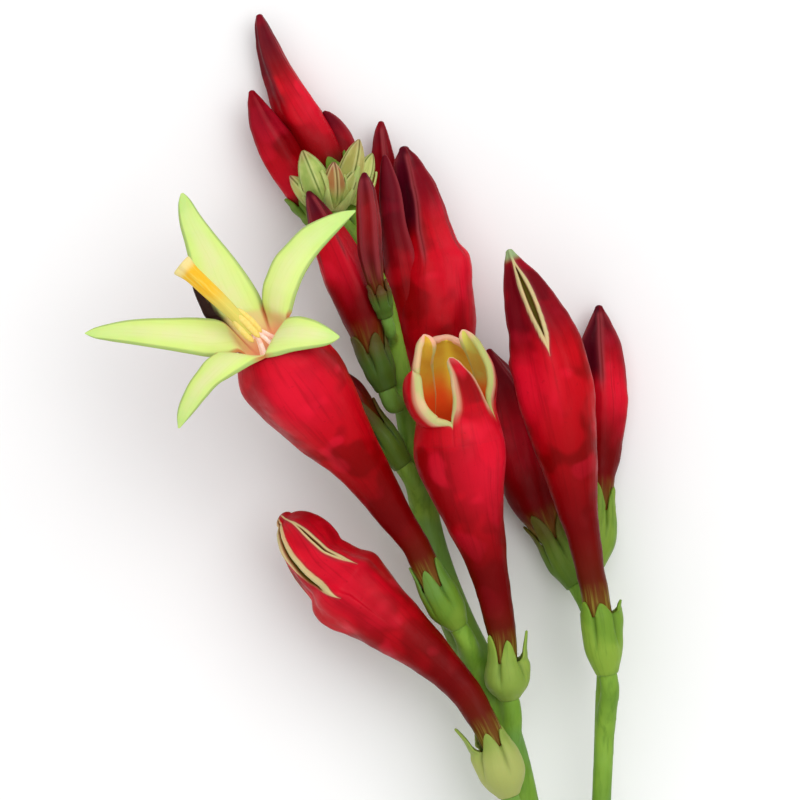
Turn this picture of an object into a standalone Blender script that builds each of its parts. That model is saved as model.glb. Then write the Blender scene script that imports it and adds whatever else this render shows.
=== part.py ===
"""The flowering top of a pinkroot, cut and laid on a flat surface with its flowers looking up.

X runs across the flower head, Y along the stem towards its tip, and Z up from the surface.
Sizes and places are in millimetres, and turned into metres where a mesh is made. Places are
measured from the middle of the flower head; at the end everything moves so that the origin is
under the middle of the whole stem, on the surface.
"""

import math

import bmesh
import bpy
from mathutils import Matrix, Vector

MM = 0.001

# Where two organs meet they keep this much clearance.
SEAT_GAP = 0.3
# Blades (sepals and lobes) and the wall of an open tube.
BLADE_THICKNESS = 0.7
TUBE_WALL = 0.8

# A bud's five ridges: how far they stand out, as a share of its radius, and the length over
# which a shoulder swells where the lobes part from the tube, as a share of the bud's length.
RIDGE_SHARE = 0.17
SHOULDER_SHARE = 0.10

# Sides of the sections, and steps along a corolla, a tube and its hollow throat.
SIDES_FRONT = 20
SIDES_BACK = 10
SIDES_LARGE = 15
SIDES_STEM = 8
SIDES_CUP = 10
STEPS_FRONT = 15
STEPS_BACK = 12
STEPS_TUBE = 9
STEPS_THROAT = 4
STEPS_LOBE = 7
BUD_TIP_RADIUS = 0.3
SHARP_ANGLE = math.radians(40.0)

# The calyx: the radius of the cup's base, what its rim stands out past a seated foot, the cup's
# middle as shares of its length and rim, how deep the sepals' roots sink into it, how far they
# stand off the corolla and lean out towards their tips, and their half widths along them.
CUP_BASE_RADIUS = 0.95
CUP_MARGIN = 0.15
CUP_MIDDLE = (0.45, 0.8)
SEPAL_ROOT = 1.1
SEPAL_CLEARANCE = 0.1
SEPAL_LEAN = 0.25
SEPAL_WIDTHS = ((0.0, 0.75), (0.5, 0.75), (1.0, 0.12))

# Colours as seen in daylight: linear red, green and blue, then roughness.
FINISHES = {
    "stem_green": ((0.17, 0.36, 0.04), 0.45),
    "calyx_green": ((0.22, 0.40, 0.04), 0.50),
    "corolla_red": ((0.47, 0.004, 0.008), 0.38),
    "bud_dark": ((0.13, 0.006, 0.018), 0.42),
    "bud_green": ((0.36, 0.45, 0.11), 0.50),
    "lobe_yellow": ((0.72, 0.86, 0.26), 0.55),
    "style_yellow": ((0.88, 0.62, 0.06), 0.45),
    "stamen_cream": ((0.92, 0.60, 0.35), 0.50),
}

# Every closed bud: its axis from the foot of the corolla to the tip, as x, y, z and radius,
# where its lobes part from the tube as a share of its length, the turn of its ridges in
# degrees, the calyx's base, the sepals' length, the sides of its section and its colour.
BUDS = {
    "splitting_bud": dict(
        axis=[
            (10.9, -39.7, 12.9, 1.35), (9.4, -36.6, 13.1, 1.45), (7.0, -32.9, 13.1, 1.75),
            (2.8, -28.8, 12.8, 2.7), (-3.1, -23.8, 12.2, 4.2), (-6.6, -20.7, 11.7, 4.5),
            (-9.8, -17.4, 11.2, 3.7), (-12.0, -14.4, 10.8, 2.3), (-12.9, -13.2, 10.6, 0.6),
        ],
        parting=0.66, turn=20.0, base=(14.4, -45.2, 11.4), sepal=6.0,
        sides=SIDES_FRONT, finish="corolla_red",
    ),
    "tall_bud": dict(
        axis=[
            (22.8, -24.6, 12.2, 1.35), (21.8, -18.9, 12.8, 1.5), (20.5, -12.7, 13.2, 2.2),
            (19.2, -5.8, 13.5, 3.4), (17.9, 0.6, 13.6, 4.4), (16.6, 6.6, 13.6, 4.1),
            (15.0, 11.4, 13.4, 2.7), (13.3, 15.2, 13.2, 1.2), (12.5, 17.3, 13.1, 0.4),
        ],
        parting=0.70, turn=50.0, base=(23.9, -31.6, 10.6), sepal=6.5,
        sides=SIDES_FRONT, finish="corolla_red",
    ),
    "right_bud": dict(
        axis=[
            (23.2, -12.7, 4.4, 1.0), (23.2, -9.2, 4.0, 1.5), (23.2, -5.6, 3.4, 2.3),
            (23.2, -1.2, 2.9, 2.9), (23.2, 3.5, 2.7, 2.7), (23.1, 7.8, 2.6, 1.5),
            (22.9, 10.6, 2.5, 0.4),
        ],
        parting=0.55, turn=10.0, base=(23.4, -18.6, 5.6), sepal=4.6,
        sides=SIDES_BACK, finish="corolla_red",
    ),
    "inner_bud": dict(
        axis=[
            (17.6, -16.2, 4.4, 1.05), (16.8, -13.6, 4.2, 1.6), (15.2, -9.6, 3.9, 2.5),
            (13.6, -4.8, 3.6, 3.2), (12.2, 0.0, 3.4, 2.8), (10.9, 3.6, 3.2, 1.4),
            (10.3, 5.6, 3.1, 0.4),
        ],
        parting=0.60, turn=35.0, base=(20.4, -21.4, 5.2), sepal=4.5,
        sides=SIDES_BACK, finish="corolla_red",
    ),
    "large_back_bud": dict(
        axis=[
            (3.6, -8.6, 4.3, 1.4), (3.7, -4.0, 4.3, 1.9), (4.0, 2.0, 4.3, 3.4),
            (4.4, 9.0, 4.3, 4.5), (4.1, 15.8, 4.4, 4.2), (3.0, 21.6, 4.6, 2.9),
            (1.6, 26.2, 4.9, 1.6), (0.5, 28.8, 5.1, 0.4),
        ],
        loose_lobe=[
            (1.8, 8.0, 5.2, 1.8), (0.9, 12.0, 5.8, 2.0), (0.1, 16.0, 6.4, 2.1),
            (-0.7, 20.0, 6.9, 1.9), (-1.4, 24.5, 7.3, 1.2), (-2.0, 27.9, 7.5, 0.3),
        ],
        parting=0.62, turn=15.0, base=(2.6, -14.6, 5.4), sepal=5.0,
        sides=SIDES_LARGE, finish="corolla_red",
    ),
    "slender_back_bud": dict(
        axis=[
            (-3.4, 12.2, 3.8, 1.1), (-3.4, 15.6, 3.2, 1.5), (-3.2, 20.2, 2.7, 1.9),
            (-2.9, 25.2, 2.6, 2.0), (-2.3, 29.4, 2.6, 1.3), (-2.1, 31.8, 2.6, 0.4),
        ],
        parting=0.55, turn=0.0, base=(-2.6, 7.6, 5.6), sepal=3.5,
        sides=SIDES_BACK, finish="corolla_red",
    ),
    "dark_bud": dict(
        axis=[
            (-3.2, 5.6, 13.6, 1.15), (-3.9, 8.0, 13.5, 1.5), (-4.9, 10.8, 13.4, 2.2),
            (-6.1, 14.0, 13.3, 2.7), (-7.6, 17.4, 13.2, 2.4), (-9.2, 20.9, 13.0, 1.5),
            (-10.6, 23.8, 12.8, 0.4),
        ],
        parting=0.55, turn=25.0, base=(-1.5, 1.6, 13.1), sepal=4.0,
        sides=SIDES_BACK, finish="corolla_red",
    ),
    "slender_dark_bud": dict(
        axis=[
            (-1.3, 12.4, 16.6, 0.95), (-2.1, 15.0, 17.0, 1.15), (-2.7, 18.4, 17.0, 1.4),
            (-3.3, 22.2, 16.8, 1.4), (-4.0, 25.0, 16.4, 0.8), (-4.2, 26.0, 16.2, 0.35),
        ],
        parting=0.50, turn=0.0, base=(-0.1, 9.4, 14.9), sepal=3.0,
        sides=SIDES_BACK, finish="bud_dark",
    ),
    "hidden_bud": dict(
        axis=[
            (-2.7, -3.2, 12.0, 1.1), (-3.9, -1.8, 12.0, 1.5), (-5.6, 0.2, 11.6, 1.9),
            (-7.2, 2.0, 11.2, 1.6), (-8.6, 3.8, 10.8, 0.4),
        ],
        parting=0.50, turn=30.0, base=(0.4, -7.6, 11.3), sepal=3.2,
        sides=SIDES_BACK, finish="bud_dark",
    ),
    "upper_left_bud": dict(
        axis=[
            (-7.2, 26.0, 4.8, 1.2), (-8.6, 28.8, 4.2, 1.8), (-11.0, 32.6, 3.1, 2.8),
            (-13.2, 36.4, 2.6, 2.6), (-14.8, 39.9, 2.6, 1.8), (-15.9, 43.2, 2.8, 0.8),
            (-16.2, 44.2, 2.8, 0.4),
        ],
        parting=0.55, turn=40.0, base=(-5.6, 22.4, 6.6), sepal=3.5,
        sides=SIDES_BACK, finish="corolla_red",
    ),
    "outer_left_bud": dict(
        axis=[
            (-11.2, 22.8, 4.9, 1.1), (-12.7, 25.2, 4.7, 1.5), (-14.6, 28.4, 4.6, 1.9),
            (-16.1, 31.6, 4.4, 1.7), (-17.0, 34.4, 4.2, 0.9), (-17.3, 35.4, 4.2, 0.4),
        ],
        parting=0.55, turn=15.0, base=(-9.2, 19.9, 5.6), sepal=3.0,
        sides=SIDES_BACK, finish="corolla_red",
    ),
}

# Open tubes: the axis as for a bud, but ending at the mouth, how deep the throat is hollow as a
# share of the tube's length, and the length of the ring that carries the lobes.
OPEN_TUBES = {
    "open_flower": dict(
        axis=[
            (4.0, -21.3, 13.4, 1.35), (1.9, -16.9, 14.4, 1.5), (-0.8, -12.9, 15.6, 1.85),
            (-4.6, -7.4, 17.4, 2.9), (-8.4, -2.4, 20.0, 4.6), (-11.2, 1.4, 22.2, 5.6),
            (-13.9, 4.9, 24.6, 5.1), (-15.6, 7.0, 26.2, 3.6),
        ],
        hollow_from=0.45, ring=0.8, base=(6.7, -26.1, 11.6), sepal=6.0,
    ),
    "half_open_flower": dict(
        axis=[
            (12.0, -29.9, 11.6, 1.4), (11.7, -26.7, 12.2, 1.6), (10.3, -19.8, 13.6, 2.1),
            (8.4, -13.2, 14.8, 3.4), (7.2, -7.1, 15.8, 4.9), (6.6, -2.4, 16.6, 4.7),
        ],
        hollow_from=0.50, ring=0.8, base=(12.6, -34.4, 10.2), sepal=5.5,
    ),
}

# The lobes of each open tube: the angle on the mouth's rim where the lobe stands, its tip,
# how far its middle is pushed along the flower's axis and away from it, and its half width.
LOBES = {
    "open_flower": [
        (262.0, (-25.1, 23.9, 17.5), 4.0, 1.0, 2.65),
        (330.0, (-5.2, 21.7, 21.0), 4.5, 1.5, 2.5),
        (42.0, (-6.8, 7.3, 29.5), 3.5, 1.5, 2.4),
        (118.0, (-25.3, -3.1, 27.5), 5.0, 2.5, 2.5),
        (192.0, (-36.0, 7.7, 25.0), 4.0, 1.5, 2.4),
    ],
    "half_open_flower": [
        (268.0, (5.0, 7.6, 16.4), 1.5, 1.9, 3.3),
        (340.0, (7.6, 7.9, 19.0), 1.0, 3.6, 3.1),
        (52.0, (5.7, 4.8, 23.4), 1.0, 2.9, 3.3),
        (124.0, (1.6, 3.4, 21.6), 1.0, 2.9, 3.1),
        (196.0, (2.7, 7.2, 18.4), 1.0, 2.5, 3.2),
    ],
}
# How hollow a lobe is across, at its root and at its tip, as a share of its half width.
LOBE_HOLLOW = {"open_flower": (0.33, 0.08), "half_open_flower": (0.34, 0.30)}

# The style, from where it leaves the anthers to its flared tip.
STYLE = [
    (-20.3, 11.0, 28.7, 0.5), (-21.9, 12.5, 29.1, 0.6), (-23.6, 14.1, 29.3, 0.8),
    (-25.0, 15.4, 29.3, 1.0), (-25.8, 16.1, 29.2, 1.1),
]
# The stamens: where their threads leave the tube's wall, as a share of its length, the threads'
# radius, and the anthers' radius and length.
STAMEN_START = 0.80
STAMEN_RADIUS = 0.35
ANTHER_RADIUS = 0.75
ANTHER_LENGTH = 2.6
# The turn of the five stamens, the share of the mouth's radius at which they pass it, and how
# far back and out a thread bends before its anther.
STAMEN_TURN = 0.3
STAMEN_SPREAD = 0.35
NECK_BACK = 0.8
NECK_OUT = 0.3

# The stalks, each as x, y, z and radius from its lower end.
STALKS = {
    "cut_stalk": [
        (21.3, -109.0, 1.15, 1.3), (21.0, -98.0, 1.2, 1.3), (20.4, -86.0, 1.5, 1.3),
        (20.0, -76.5, 2.6, 1.35),
    ],
    "left_branch": [
        (20.3, -80.0, 2.1, 1.0), (18.6, -68.0, 4.2, 1.2), (16.4, -57.0, 6.2, 1.3),
        (14.0, -46.5, 7.2, 1.6), (12.4, -40.0, 7.5, 1.75), (9.9, -32.5, 7.8, 1.75),
        (6.4, -25.0, 8.0, 1.6), (3.8, -17.5, 8.2, 1.55), (2.3, -10.0, 8.5, 1.45),
        (1.0, -2.0, 9.0, 1.4), (-0.7, 6.0, 9.8, 1.3), (-2.4, 13.0, 10.0, 1.2),
        (-5.6, 19.0, 9.8, 1.0), (-8.6, 22.4, 9.6, 0.9),
    ],
    "right_branch": [
        (20.1, -79.0, 2.2, 1.0), (21.2, -67.0, 4.0, 1.15), (22.4, -57.0, 5.6, 1.15),
        (23.2, -46.0, 7.0, 1.15), (23.6, -36.0, 7.6, 1.15), (23.8, -27.0, 7.0, 1.0),
    ],
}

# Flower stalks: where each one leaves its branch. It ends at the calyx's base.
STALK_ROOTS = {
    "splitting_bud": (15.2, -51.5, 7.0),
    "tall_bud": (23.6, -36.0, 7.8),
    "right_bud": (23.8, -27.0, 7.0),
    "inner_bud": (23.6, -28.5, 7.0),
    "large_back_bud": (3.6, -18.5, 8.3),
    "slender_back_bud": (-0.4, 4.6, 9.8),
    "dark_bud": (0.3, 1.4, 9.6),
    "slender_dark_bud": (-0.9, 7.6, 10.1),
    "hidden_bud": (2.6, -12.6, 8.4),
    "upper_left_bud": (-4.6, 17.6, 9.8),
    "outer_left_bud": (-7.4, 20.6, 9.6),
    "open_flower": (8.6, -30.0, 8.2),
    "half_open_flower": (12.6, -39.0, 7.8),
}
FLOWER_STALK_RADIUS = 0.85
FLOWER_STALK_NECK = 1.4

# The young green buds that end the left branch: base, tip and greatest radius.
YOUNG_BUDS = [
    ((-8.6, 22.4, 9.8), (-11.2, 28.7, 11.4), 1.35),
    ((-8.0, 22.2, 10.0), (-7.8, 27.2, 11.8), 1.5),
    ((-7.8, 22.0, 9.4), (-5.0, 26.4, 10.2), 1.2),
    ((-8.8, 22.0, 9.4), (-12.6, 25.4, 9.8), 1.05),
    ((-6.9, 22.6, 9.0), (-4.7, 30.0, 8.6), 1.5),
]
YOUNG_BUD_WIDTHS = ((0.0, 0.55), (0.3, 1.0), (0.65, 0.8), (1.0, 0.2))
YOUNG_SEPAL_TIPS = [(-9.4, 26.6, 13.2), (-5.9, 20.4, 12.6), (-13.0, 23.0, 11.6)]
YOUNG_SEPAL_WIDTHS = ((0.0, 0.6), (0.4, 0.6), (0.75, 0.45), (1.0, 0.2))
# They start this far past the branch's end, and meet in a small swelling along this heading,
# given as distance and radius. The young sepals spring from its middle.
YOUNG_START = 1.4
YOUNG_HEADING = (-0.35, 0.85, 0.35)
YOUNG_SWELLING = ((1.4, 1.0), (2.4, 1.5), (3.4, 1.0))
YOUNG_SEPAL_START = 2.2


def smooth_between(low, high, value):
    """0 below low, 1 above high, and an S-shaped rise between them."""
    share = min(1.0, max(0.0, (value - low) / (high - low)))
    return share * share * (3.0 - 2.0 * share)


def along(stations, share):
    """The station at this share of the way, on a smooth curve through all of them."""
    place = share * (len(stations) - 1)
    index = min(int(place), len(stations) - 2)
    t = place - index
    before = stations[max(index - 1, 0)]
    start = stations[index]
    end = stations[index + 1]
    after = stations[min(index + 2, len(stations) - 1)]
    return tuple(
        0.5 * (2 * b + (c - a) * t + (2 * a - 5 * b + 4 * c - d) * t * t + (3 * b - a - 3 * c + d) * t ** 3)
        for a, b, c, d in zip(before, start, end, after)
    )


def frame_at(stations, share):
    """Centre, direction, sideways and upward vectors, and the radius, at a share of an axis."""
    step = 0.01
    station = along(stations, share)
    ahead = Vector(along(stations, min(1.0, share + step))[:3])
    behind = Vector(along(stations, max(0.0, share - step))[:3])
    direction = (ahead - behind).normalized()
    sideways = direction.cross(Vector((0.0, 0.0, 1.0))).normalized()
    upward = sideways.cross(direction)
    return Vector(station[:3]), direction, sideways, upward, station[3]


def ring_points(frame, radius, sides, ridges=0.0, turn=0.0):
    """A section of a stalk or corolla: round, or with five ridges."""
    centre, _, sideways, upward, _ = frame
    points = []
    for i in range(sides):
        angle = 2.0 * math.pi * i / sides
        reach = radius * (1.0 + ridges * math.cos(5.0 * angle))
        around = angle + math.radians(turn)
        points.append(centre + reach * (math.cos(around) * upward + math.sin(around) * sideways))
    return points


def solid(name, rings, finish=None):
    """A closed solid through rings of equally many points, with a flat face at each end."""
    shape = bmesh.new()
    loops = [[shape.verts.new(point * MM) for point in ring] for ring in rings]
    count = len(rings[0])
    for lower, upper in zip(loops, loops[1:]):
        for i in range(count):
            j = (i + 1) % count
            # Both triangles of a square lie the same way on a blade's two faces.
            if i < count // 2 or count % 2:
                shape.faces.new((lower[i], lower[j], upper[j]))
                shape.faces.new((lower[i], upper[j], upper[i]))
            else:
                shape.faces.new((lower[i], lower[j], upper[i]))
                shape.faces.new((lower[j], upper[j], upper[i]))
    shape.faces.new(list(reversed(loops[0])))
    shape.faces.new(loops[-1])
    bmesh.ops.recalc_face_normals(shape, faces=shape.faces)
    mesh = bpy.data.meshes.new(name)
    shape.to_mesh(mesh)
    shape.free()
    piece = bpy.data.objects.new(name, mesh)
    bpy.context.scene.collection.objects.link(piece)
    if finish:
        paint(piece, finish)
    return piece


def paint(piece, finish):
    """Gives a piece its material, made once for each finish, and smooth shading."""
    material = bpy.data.materials.get(finish)
    if material is None:
        colour, roughness = FINISHES[finish]
        material = bpy.data.materials.new(finish)
        material.use_nodes = True
        shader = material.node_tree.nodes["Principled BSDF"]
        shader.inputs["Base Color"].default_value = (*colour, 1.0)
        shader.inputs["Roughness"].default_value = roughness
        shader.inputs["Metallic"].default_value = 0.0
        material.diffuse_color = (*colour, 1.0)
    piece.data.materials.clear()
    piece.data.materials.append(material)
    piece.data.shade_smooth()
    piece.data.set_sharp_from_angle(angle=SHARP_ANGLE)


def fused(name, pieces, finish):
    """One solid from pieces that grew together."""
    body, *others = pieces
    group = bpy.data.collections.new(name + "_parts")
    bpy.context.scene.collection.children.link(group)
    for piece in others:
        bpy.context.scene.collection.objects.unlink(piece)
        group.objects.link(piece)
    joining = body.modifiers.new("Grown together", "BOOLEAN")
    joining.operation = "UNION"
    joining.operand_type = "COLLECTION"
    joining.collection = group
    joining.solver = "EXACT"
    bpy.context.view_layer.update()
    graph = bpy.context.evaluated_depsgraph_get()
    mesh = bpy.data.meshes.new_from_object(body.evaluated_get(graph))
    mesh.name = name
    body.modifiers.clear()
    body.data = mesh
    body.name = name
    for piece in others:
        bpy.data.objects.remove(piece)
    bpy.data.collections.remove(group)
    paint(body, finish)
    return body


def stalk(name, stations, steps, sides=SIDES_STEM):
    """A round stalk along its stations."""
    rings = []
    for i in range(steps + 1):
        frame = frame_at(stations, i / steps)
        rings.append(ring_points(frame, frame[4], sides))
    return solid(name, rings)


def blade(name, centres, widths, outward, hollows=None):
    """A thin leaf-like blade along its centres. Outward is the side its hollow looks away from."""
    rings = []
    for i, (centre, width) in enumerate(zip(centres, widths)):
        ahead = centres[min(i + 1, len(centres) - 1)]
        behind = centres[max(i - 1, 0)]
        direction = (ahead - behind).normalized()
        across = direction.cross(outward[i]).normalized()
        normal = across.cross(direction)
        if hollows:
            edge = -hollows[i] * width * normal
            line = [centre - width * across + edge, centre, centre + width * across + edge]
        else:
            line = [centre - width * across, centre + width * across]
        upper = [point + 0.5 * BLADE_THICKNESS * normal for point in line]
        lower = [point - 0.5 * BLADE_THICKNESS * normal for point in reversed(line)]
        rings.append(upper + lower)
    return solid(name, rings)


def calyx(name, flower):
    """The green cup under a corolla and its five narrow sepals, which lie close to the tube."""
    stations = flower["axis"]
    foot = frame_at(stations, 0.0)
    base = Vector(flower["base"])
    reach = foot[0] - base
    length = reach.length
    cup_radius = foot[4] + SEAT_GAP + BLADE_THICKNESS + CUP_MARGIN
    middle, fullness = CUP_MIDDLE
    profile = ((0.0, CUP_BASE_RADIUS), (middle, fullness * cup_radius), (1.0 - SEAT_GAP / length, cup_radius))
    cup_axis = [(*(base + reach * share), radius) for share, radius in profile]
    rings = []
    for share in (0.0, 0.5, 1.0):
        frame = frame_at(cup_axis, share)
        rings.append(ring_points(frame, frame[4], SIDES_CUP))
    pieces = [solid("cup", rings)]
    axis_length = axis_length_of(stations)
    for i in range(5):
        angle = 2.0 * math.pi * (i + 0.5) / 5.0 + math.radians(flower.get("turn", 0.0))
        centres = []
        outward = []
        widths = []
        for share, width in SEPAL_WIDTHS:
            distance = share * flower["sepal"]
            frame = frame_at(stations, distance / axis_length)
            out = math.cos(angle) * frame[3] + math.sin(angle) * frame[2]
            clearance = SEAT_GAP + 0.5 * BLADE_THICKNESS + SEPAL_CLEARANCE + SEPAL_LEAN * share
            centres.append(frame[0] + out * (frame[4] + clearance))
            outward.append(out)
            widths.append(width)
        centres[0] -= foot[1] * SEPAL_ROOT
        pieces.append(blade("sepal", centres, widths, outward))
    return fused(name, pieces, "calyx_green")


def axis_length_of(stations):
    """The length of the curve through the stations."""
    steps = 60
    places = [Vector(along(stations, i / steps)[:3]) for i in range(steps + 1)]
    return sum((b - a).length for a, b in zip(places, places[1:]))


def closed_corolla(name, flower):
    """A bud: a narrow foot, five shoulders where the lobes part, and ridges up to a sharp tip.

    One lobe may have come loose from the others already, and then it stands beside them.
    """
    sides = flower["sides"]
    parting = flower["parting"]
    steps = STEPS_FRONT if sides == SIDES_FRONT else STEPS_BACK
    rings = []
    for i in range(steps + 1):
        share = i / steps
        frame = frame_at(flower["axis"], share)
        swelling = smooth_between(parting - SHOULDER_SHARE, parting, share)
        ridges = RIDGE_SHARE * swelling * (1.0 - 0.35 * smooth_between(parting, 1.0, share))
        rings.append(ring_points(frame, max(frame[4], BUD_TIP_RADIUS), sides, ridges, flower["turn"]))
    bud = solid(name, rings, flower["finish"])
    if "loose_lobe" not in flower:
        return bud
    return fused(name, [bud, stalk("loose_lobe", flower["loose_lobe"], 8, 8)], flower["finish"])


def open_tube(name, flower):
    """The red tube of an open flower: solid where it is narrow, hollow towards its mouth."""
    stations = flower["axis"]
    rings = []
    for i in range(STEPS_TUBE + 1):
        frame = frame_at(stations, i / STEPS_TUBE)
        rings.append(ring_points(frame, frame[4], SIDES_FRONT))
    for i in range(STEPS_THROAT + 1):
        share = 1.0 - (1.0 - flower["hollow_from"]) * i / STEPS_THROAT
        frame = frame_at(stations, share)
        rings.append(ring_points(frame, frame[4] - TUBE_WALL, SIDES_FRONT))
    return solid(name, rings, "corolla_red")


def lobe(flower, rim_angle, tip, along_axis, away, half_width, hollow):
    """One lobe of an open flower, from the throat ring out to its tip."""
    centre, direction, sideways, upward, radius = frame_at(flower["axis"], 1.0)
    angle = math.radians(rim_angle)
    out = math.cos(angle) * sideways + math.sin(angle) * upward
    around = -math.sin(angle) * sideways + math.cos(angle) * upward
    middle_of_wall = radius - 0.5 * TUBE_WALL
    root = centre + direction * (SEAT_GAP + 0.5 * BLADE_THICKNESS) + out * middle_of_wall
    end = Vector(tip)
    middle = 0.5 * (root + end) + along_axis * direction + away * out
    centres = []
    widths = []
    outward = []
    hollows = []
    for i in range(STEPS_LOBE + 1):
        t = i / STEPS_LOBE
        centres.append((1 - t) ** 2 * root + 2 * t * (1 - t) * middle + t * t * end)
        widths.append(half_width * lobe_outline(t))
        hollows.append(hollow[0] + (hollow[1] - hollow[0]) * t)
        tangent = 2 * (1 - t) * (middle - root) + 2 * t * (end - middle)
        outward.append(tangent.cross(around).normalized())
    return blade("lobe", centres, widths, outward, hollows)


def lobe_outline(t):
    """A lobe's half width along it, as a share of its greatest: full near the root, then tapering."""
    return (0.9 + 0.1 * smooth_between(0.0, 0.2, t)) * max(0.07, (1.0 - t ** 1.35)) ** 0.8


def throat_ring(flower):
    """The short ring at the mouth that the five lobes grow from."""
    centre, direction, sideways, upward, outer = frame_at(flower["axis"], 1.0)
    rings = []
    inner = outer - TUBE_WALL
    low = SEAT_GAP
    high = SEAT_GAP + flower["ring"]
    for reach, height in ((outer, low), (outer, high), (inner, high), (inner, low)):
        frame = (centre + height * direction, direction, sideways, upward, reach)
        rings.append(ring_points(frame, reach, SIDES_FRONT))
    return ring_solid("throat", rings)


def ring_solid(name, rings):
    """A closed ring: its sections run right round, so it has no end faces."""
    shape = bmesh.new()
    loops = [[shape.verts.new(point * MM) for point in ring] for ring in rings]
    count = len(rings[0])
    for k, lower in enumerate(loops):
        upper = loops[(k + 1) % len(loops)]
        for i in range(count):
            j = (i + 1) % count
            shape.faces.new((lower[i], lower[j], upper[j], upper[i]))
    bmesh.ops.recalc_face_normals(shape, faces=shape.faces)
    mesh = bpy.data.meshes.new(name)
    shape.to_mesh(mesh)
    shape.free()
    piece = bpy.data.objects.new(name, mesh)
    bpy.context.scene.collection.objects.link(piece)
    return piece


def lobes(name, finish):
    """All five lobes of an open flower, on their ring."""
    flower = OPEN_TUBES[name]
    pieces = [throat_ring(flower)]
    pieces += [lobe(flower, *place, LOBE_HOLLOW[name]) for place in LOBES[name]]
    return fused(name + "_lobes", pieces, finish)


def stamens(name, flower):
    """Five stamens from the throat's wall, whose anthers close round the foot of the style."""
    start = frame_at(flower["axis"], STAMEN_START)
    middle, _, _, _, opening = frame_at(flower["axis"], 1.0)
    heading = (Vector(STYLE[1][:3]) - Vector(STYLE[0][:3])).normalized()
    side = heading.cross(Vector((0.0, 0.0, 1.0))).normalized()
    up = side.cross(heading)
    end = Vector(STYLE[0][:3]) - heading * SEAT_GAP
    pieces = []
    for i in range(5):
        angle = 2.0 * math.pi * i / 5.0 + STAMEN_TURN
        out = math.cos(angle) * up + math.sin(angle) * side
        wall = math.cos(angle) * start[3] + math.sin(angle) * start[2]
        foot = start[0] + wall * (start[4] - TUBE_WALL - SEAT_GAP - STAMEN_RADIUS)
        tip = end + out * 0.55 * ANTHER_RADIUS
        anther = end - heading * ANTHER_LENGTH + out * ANTHER_RADIUS
        neck = anther - heading * NECK_BACK + out * NECK_OUT
        mouth = middle + wall * STAMEN_SPREAD * opening
        pieces.append(stalk("stamen", [
            (*foot, STAMEN_RADIUS), (*mouth, STAMEN_RADIUS), (*neck, STAMEN_RADIUS),
            (*anther, 0.8 * ANTHER_RADIUS), (*(0.5 * (anther + tip)), 0.95 * ANTHER_RADIUS),
            (*tip, 0.6 * ANTHER_RADIUS),
        ], 7, 5))
    return fused(name, pieces, "stamen_cream")


def style(name):
    """The style, which widens to its tip."""
    piece = stalk(name, STYLE, 10, 8)
    paint(piece, "style_yellow")
    return piece


def stem(name):
    """The cut stalk with both branches and every flower's own short stalk."""
    pieces = [stalk(key, stations, len(stations) + 2) for key, stations in STALKS.items()]
    flowers = {**BUDS, **OPEN_TUBES}
    for key, root in STALK_ROOTS.items():
        base = Vector(flowers[key]["base"])
        foot = frame_at(flowers[key]["axis"], 0.0)[0]
        towards = (foot - base).normalized()
        end = base - towards * SEAT_GAP
        bend = end - towards * FLOWER_STALK_NECK
        start = Vector(root)
        places = (start, 0.5 * (start + bend), bend, end)
        pieces.append(stalk("flower_stalk", [(*place, FLOWER_STALK_RADIUS) for place in places], 3, 6))
    return fused(name, pieces, "stem_green")


def young_buds(name):
    """The green buds, still with their sepals closed round them, at the tip of the left branch."""
    pieces = []
    for base, tip, radius in YOUNG_BUDS:
        start = Vector(base)
        end = Vector(tip)
        start = start + (end - start).normalized() * YOUNG_START
        stations = [(*(start + (end - start) * share), radius * width) for share, width in YOUNG_BUD_WIDTHS]
        pieces.append(stalk("young_bud", stations, 4, 7))
    foot = Vector(YOUNG_BUDS[0][0])
    heading = Vector(YOUNG_HEADING).normalized()
    swelling = [(*(foot + heading * distance), radius) for distance, radius in YOUNG_SWELLING]
    pieces.append(stalk("swelling", swelling, 3, 8))
    for tip in YOUNG_SEPAL_TIPS:
        start = foot + heading * YOUNG_SEPAL_START
        end = Vector(tip)
        centres = [start + (end - start) * share for share, _ in YOUNG_SEPAL_WIDTHS]
        outward = [Vector((0.0, 0.0, 1.0))] * len(centres)
        pieces.append(blade("young_sepal", centres, [width for _, width in YOUNG_SEPAL_WIDTHS], outward))
    return fused(name, pieces, "bud_green")


def cut_at_surface(piece):
    """Cuts a small flat spot where a piece presses on the surface that it lies on."""
    shape = bmesh.new()
    shape.from_mesh(piece.data)
    geometry = list(shape.verts) + list(shape.edges) + list(shape.faces)
    cut = bmesh.ops.bisect_plane(
        shape, geom=geometry, dist=1e-7, plane_co=(0.0, 0.0, 0.0), plane_no=(0.0, 0.0, 1.0),
        clear_inner=True,
    )
    edges = [item for item in cut["geom_cut"] if isinstance(item, bmesh.types.BMEdge)]
    bmesh.ops.holes_fill(shape, edges=edges, sides=0)
    bmesh.ops.recalc_face_normals(shape, faces=shape.faces)
    shape.to_mesh(piece.data)
    shape.free()


def stand_on_origin(pieces):
    """Moves all pieces so that the origin is under the middle of the whole stem."""
    corners = [vertex.co for piece in pieces for vertex in piece.data.vertices]
    middle_x = 0.5 * (min(c.x for c in corners) + max(c.x for c in corners))
    middle_y = 0.5 * (min(c.y for c in corners) + max(c.y for c in corners))
    move = Matrix.Translation((-middle_x, -middle_y, 0.0))
    for piece in pieces:
        piece.data.transform(move)


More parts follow.
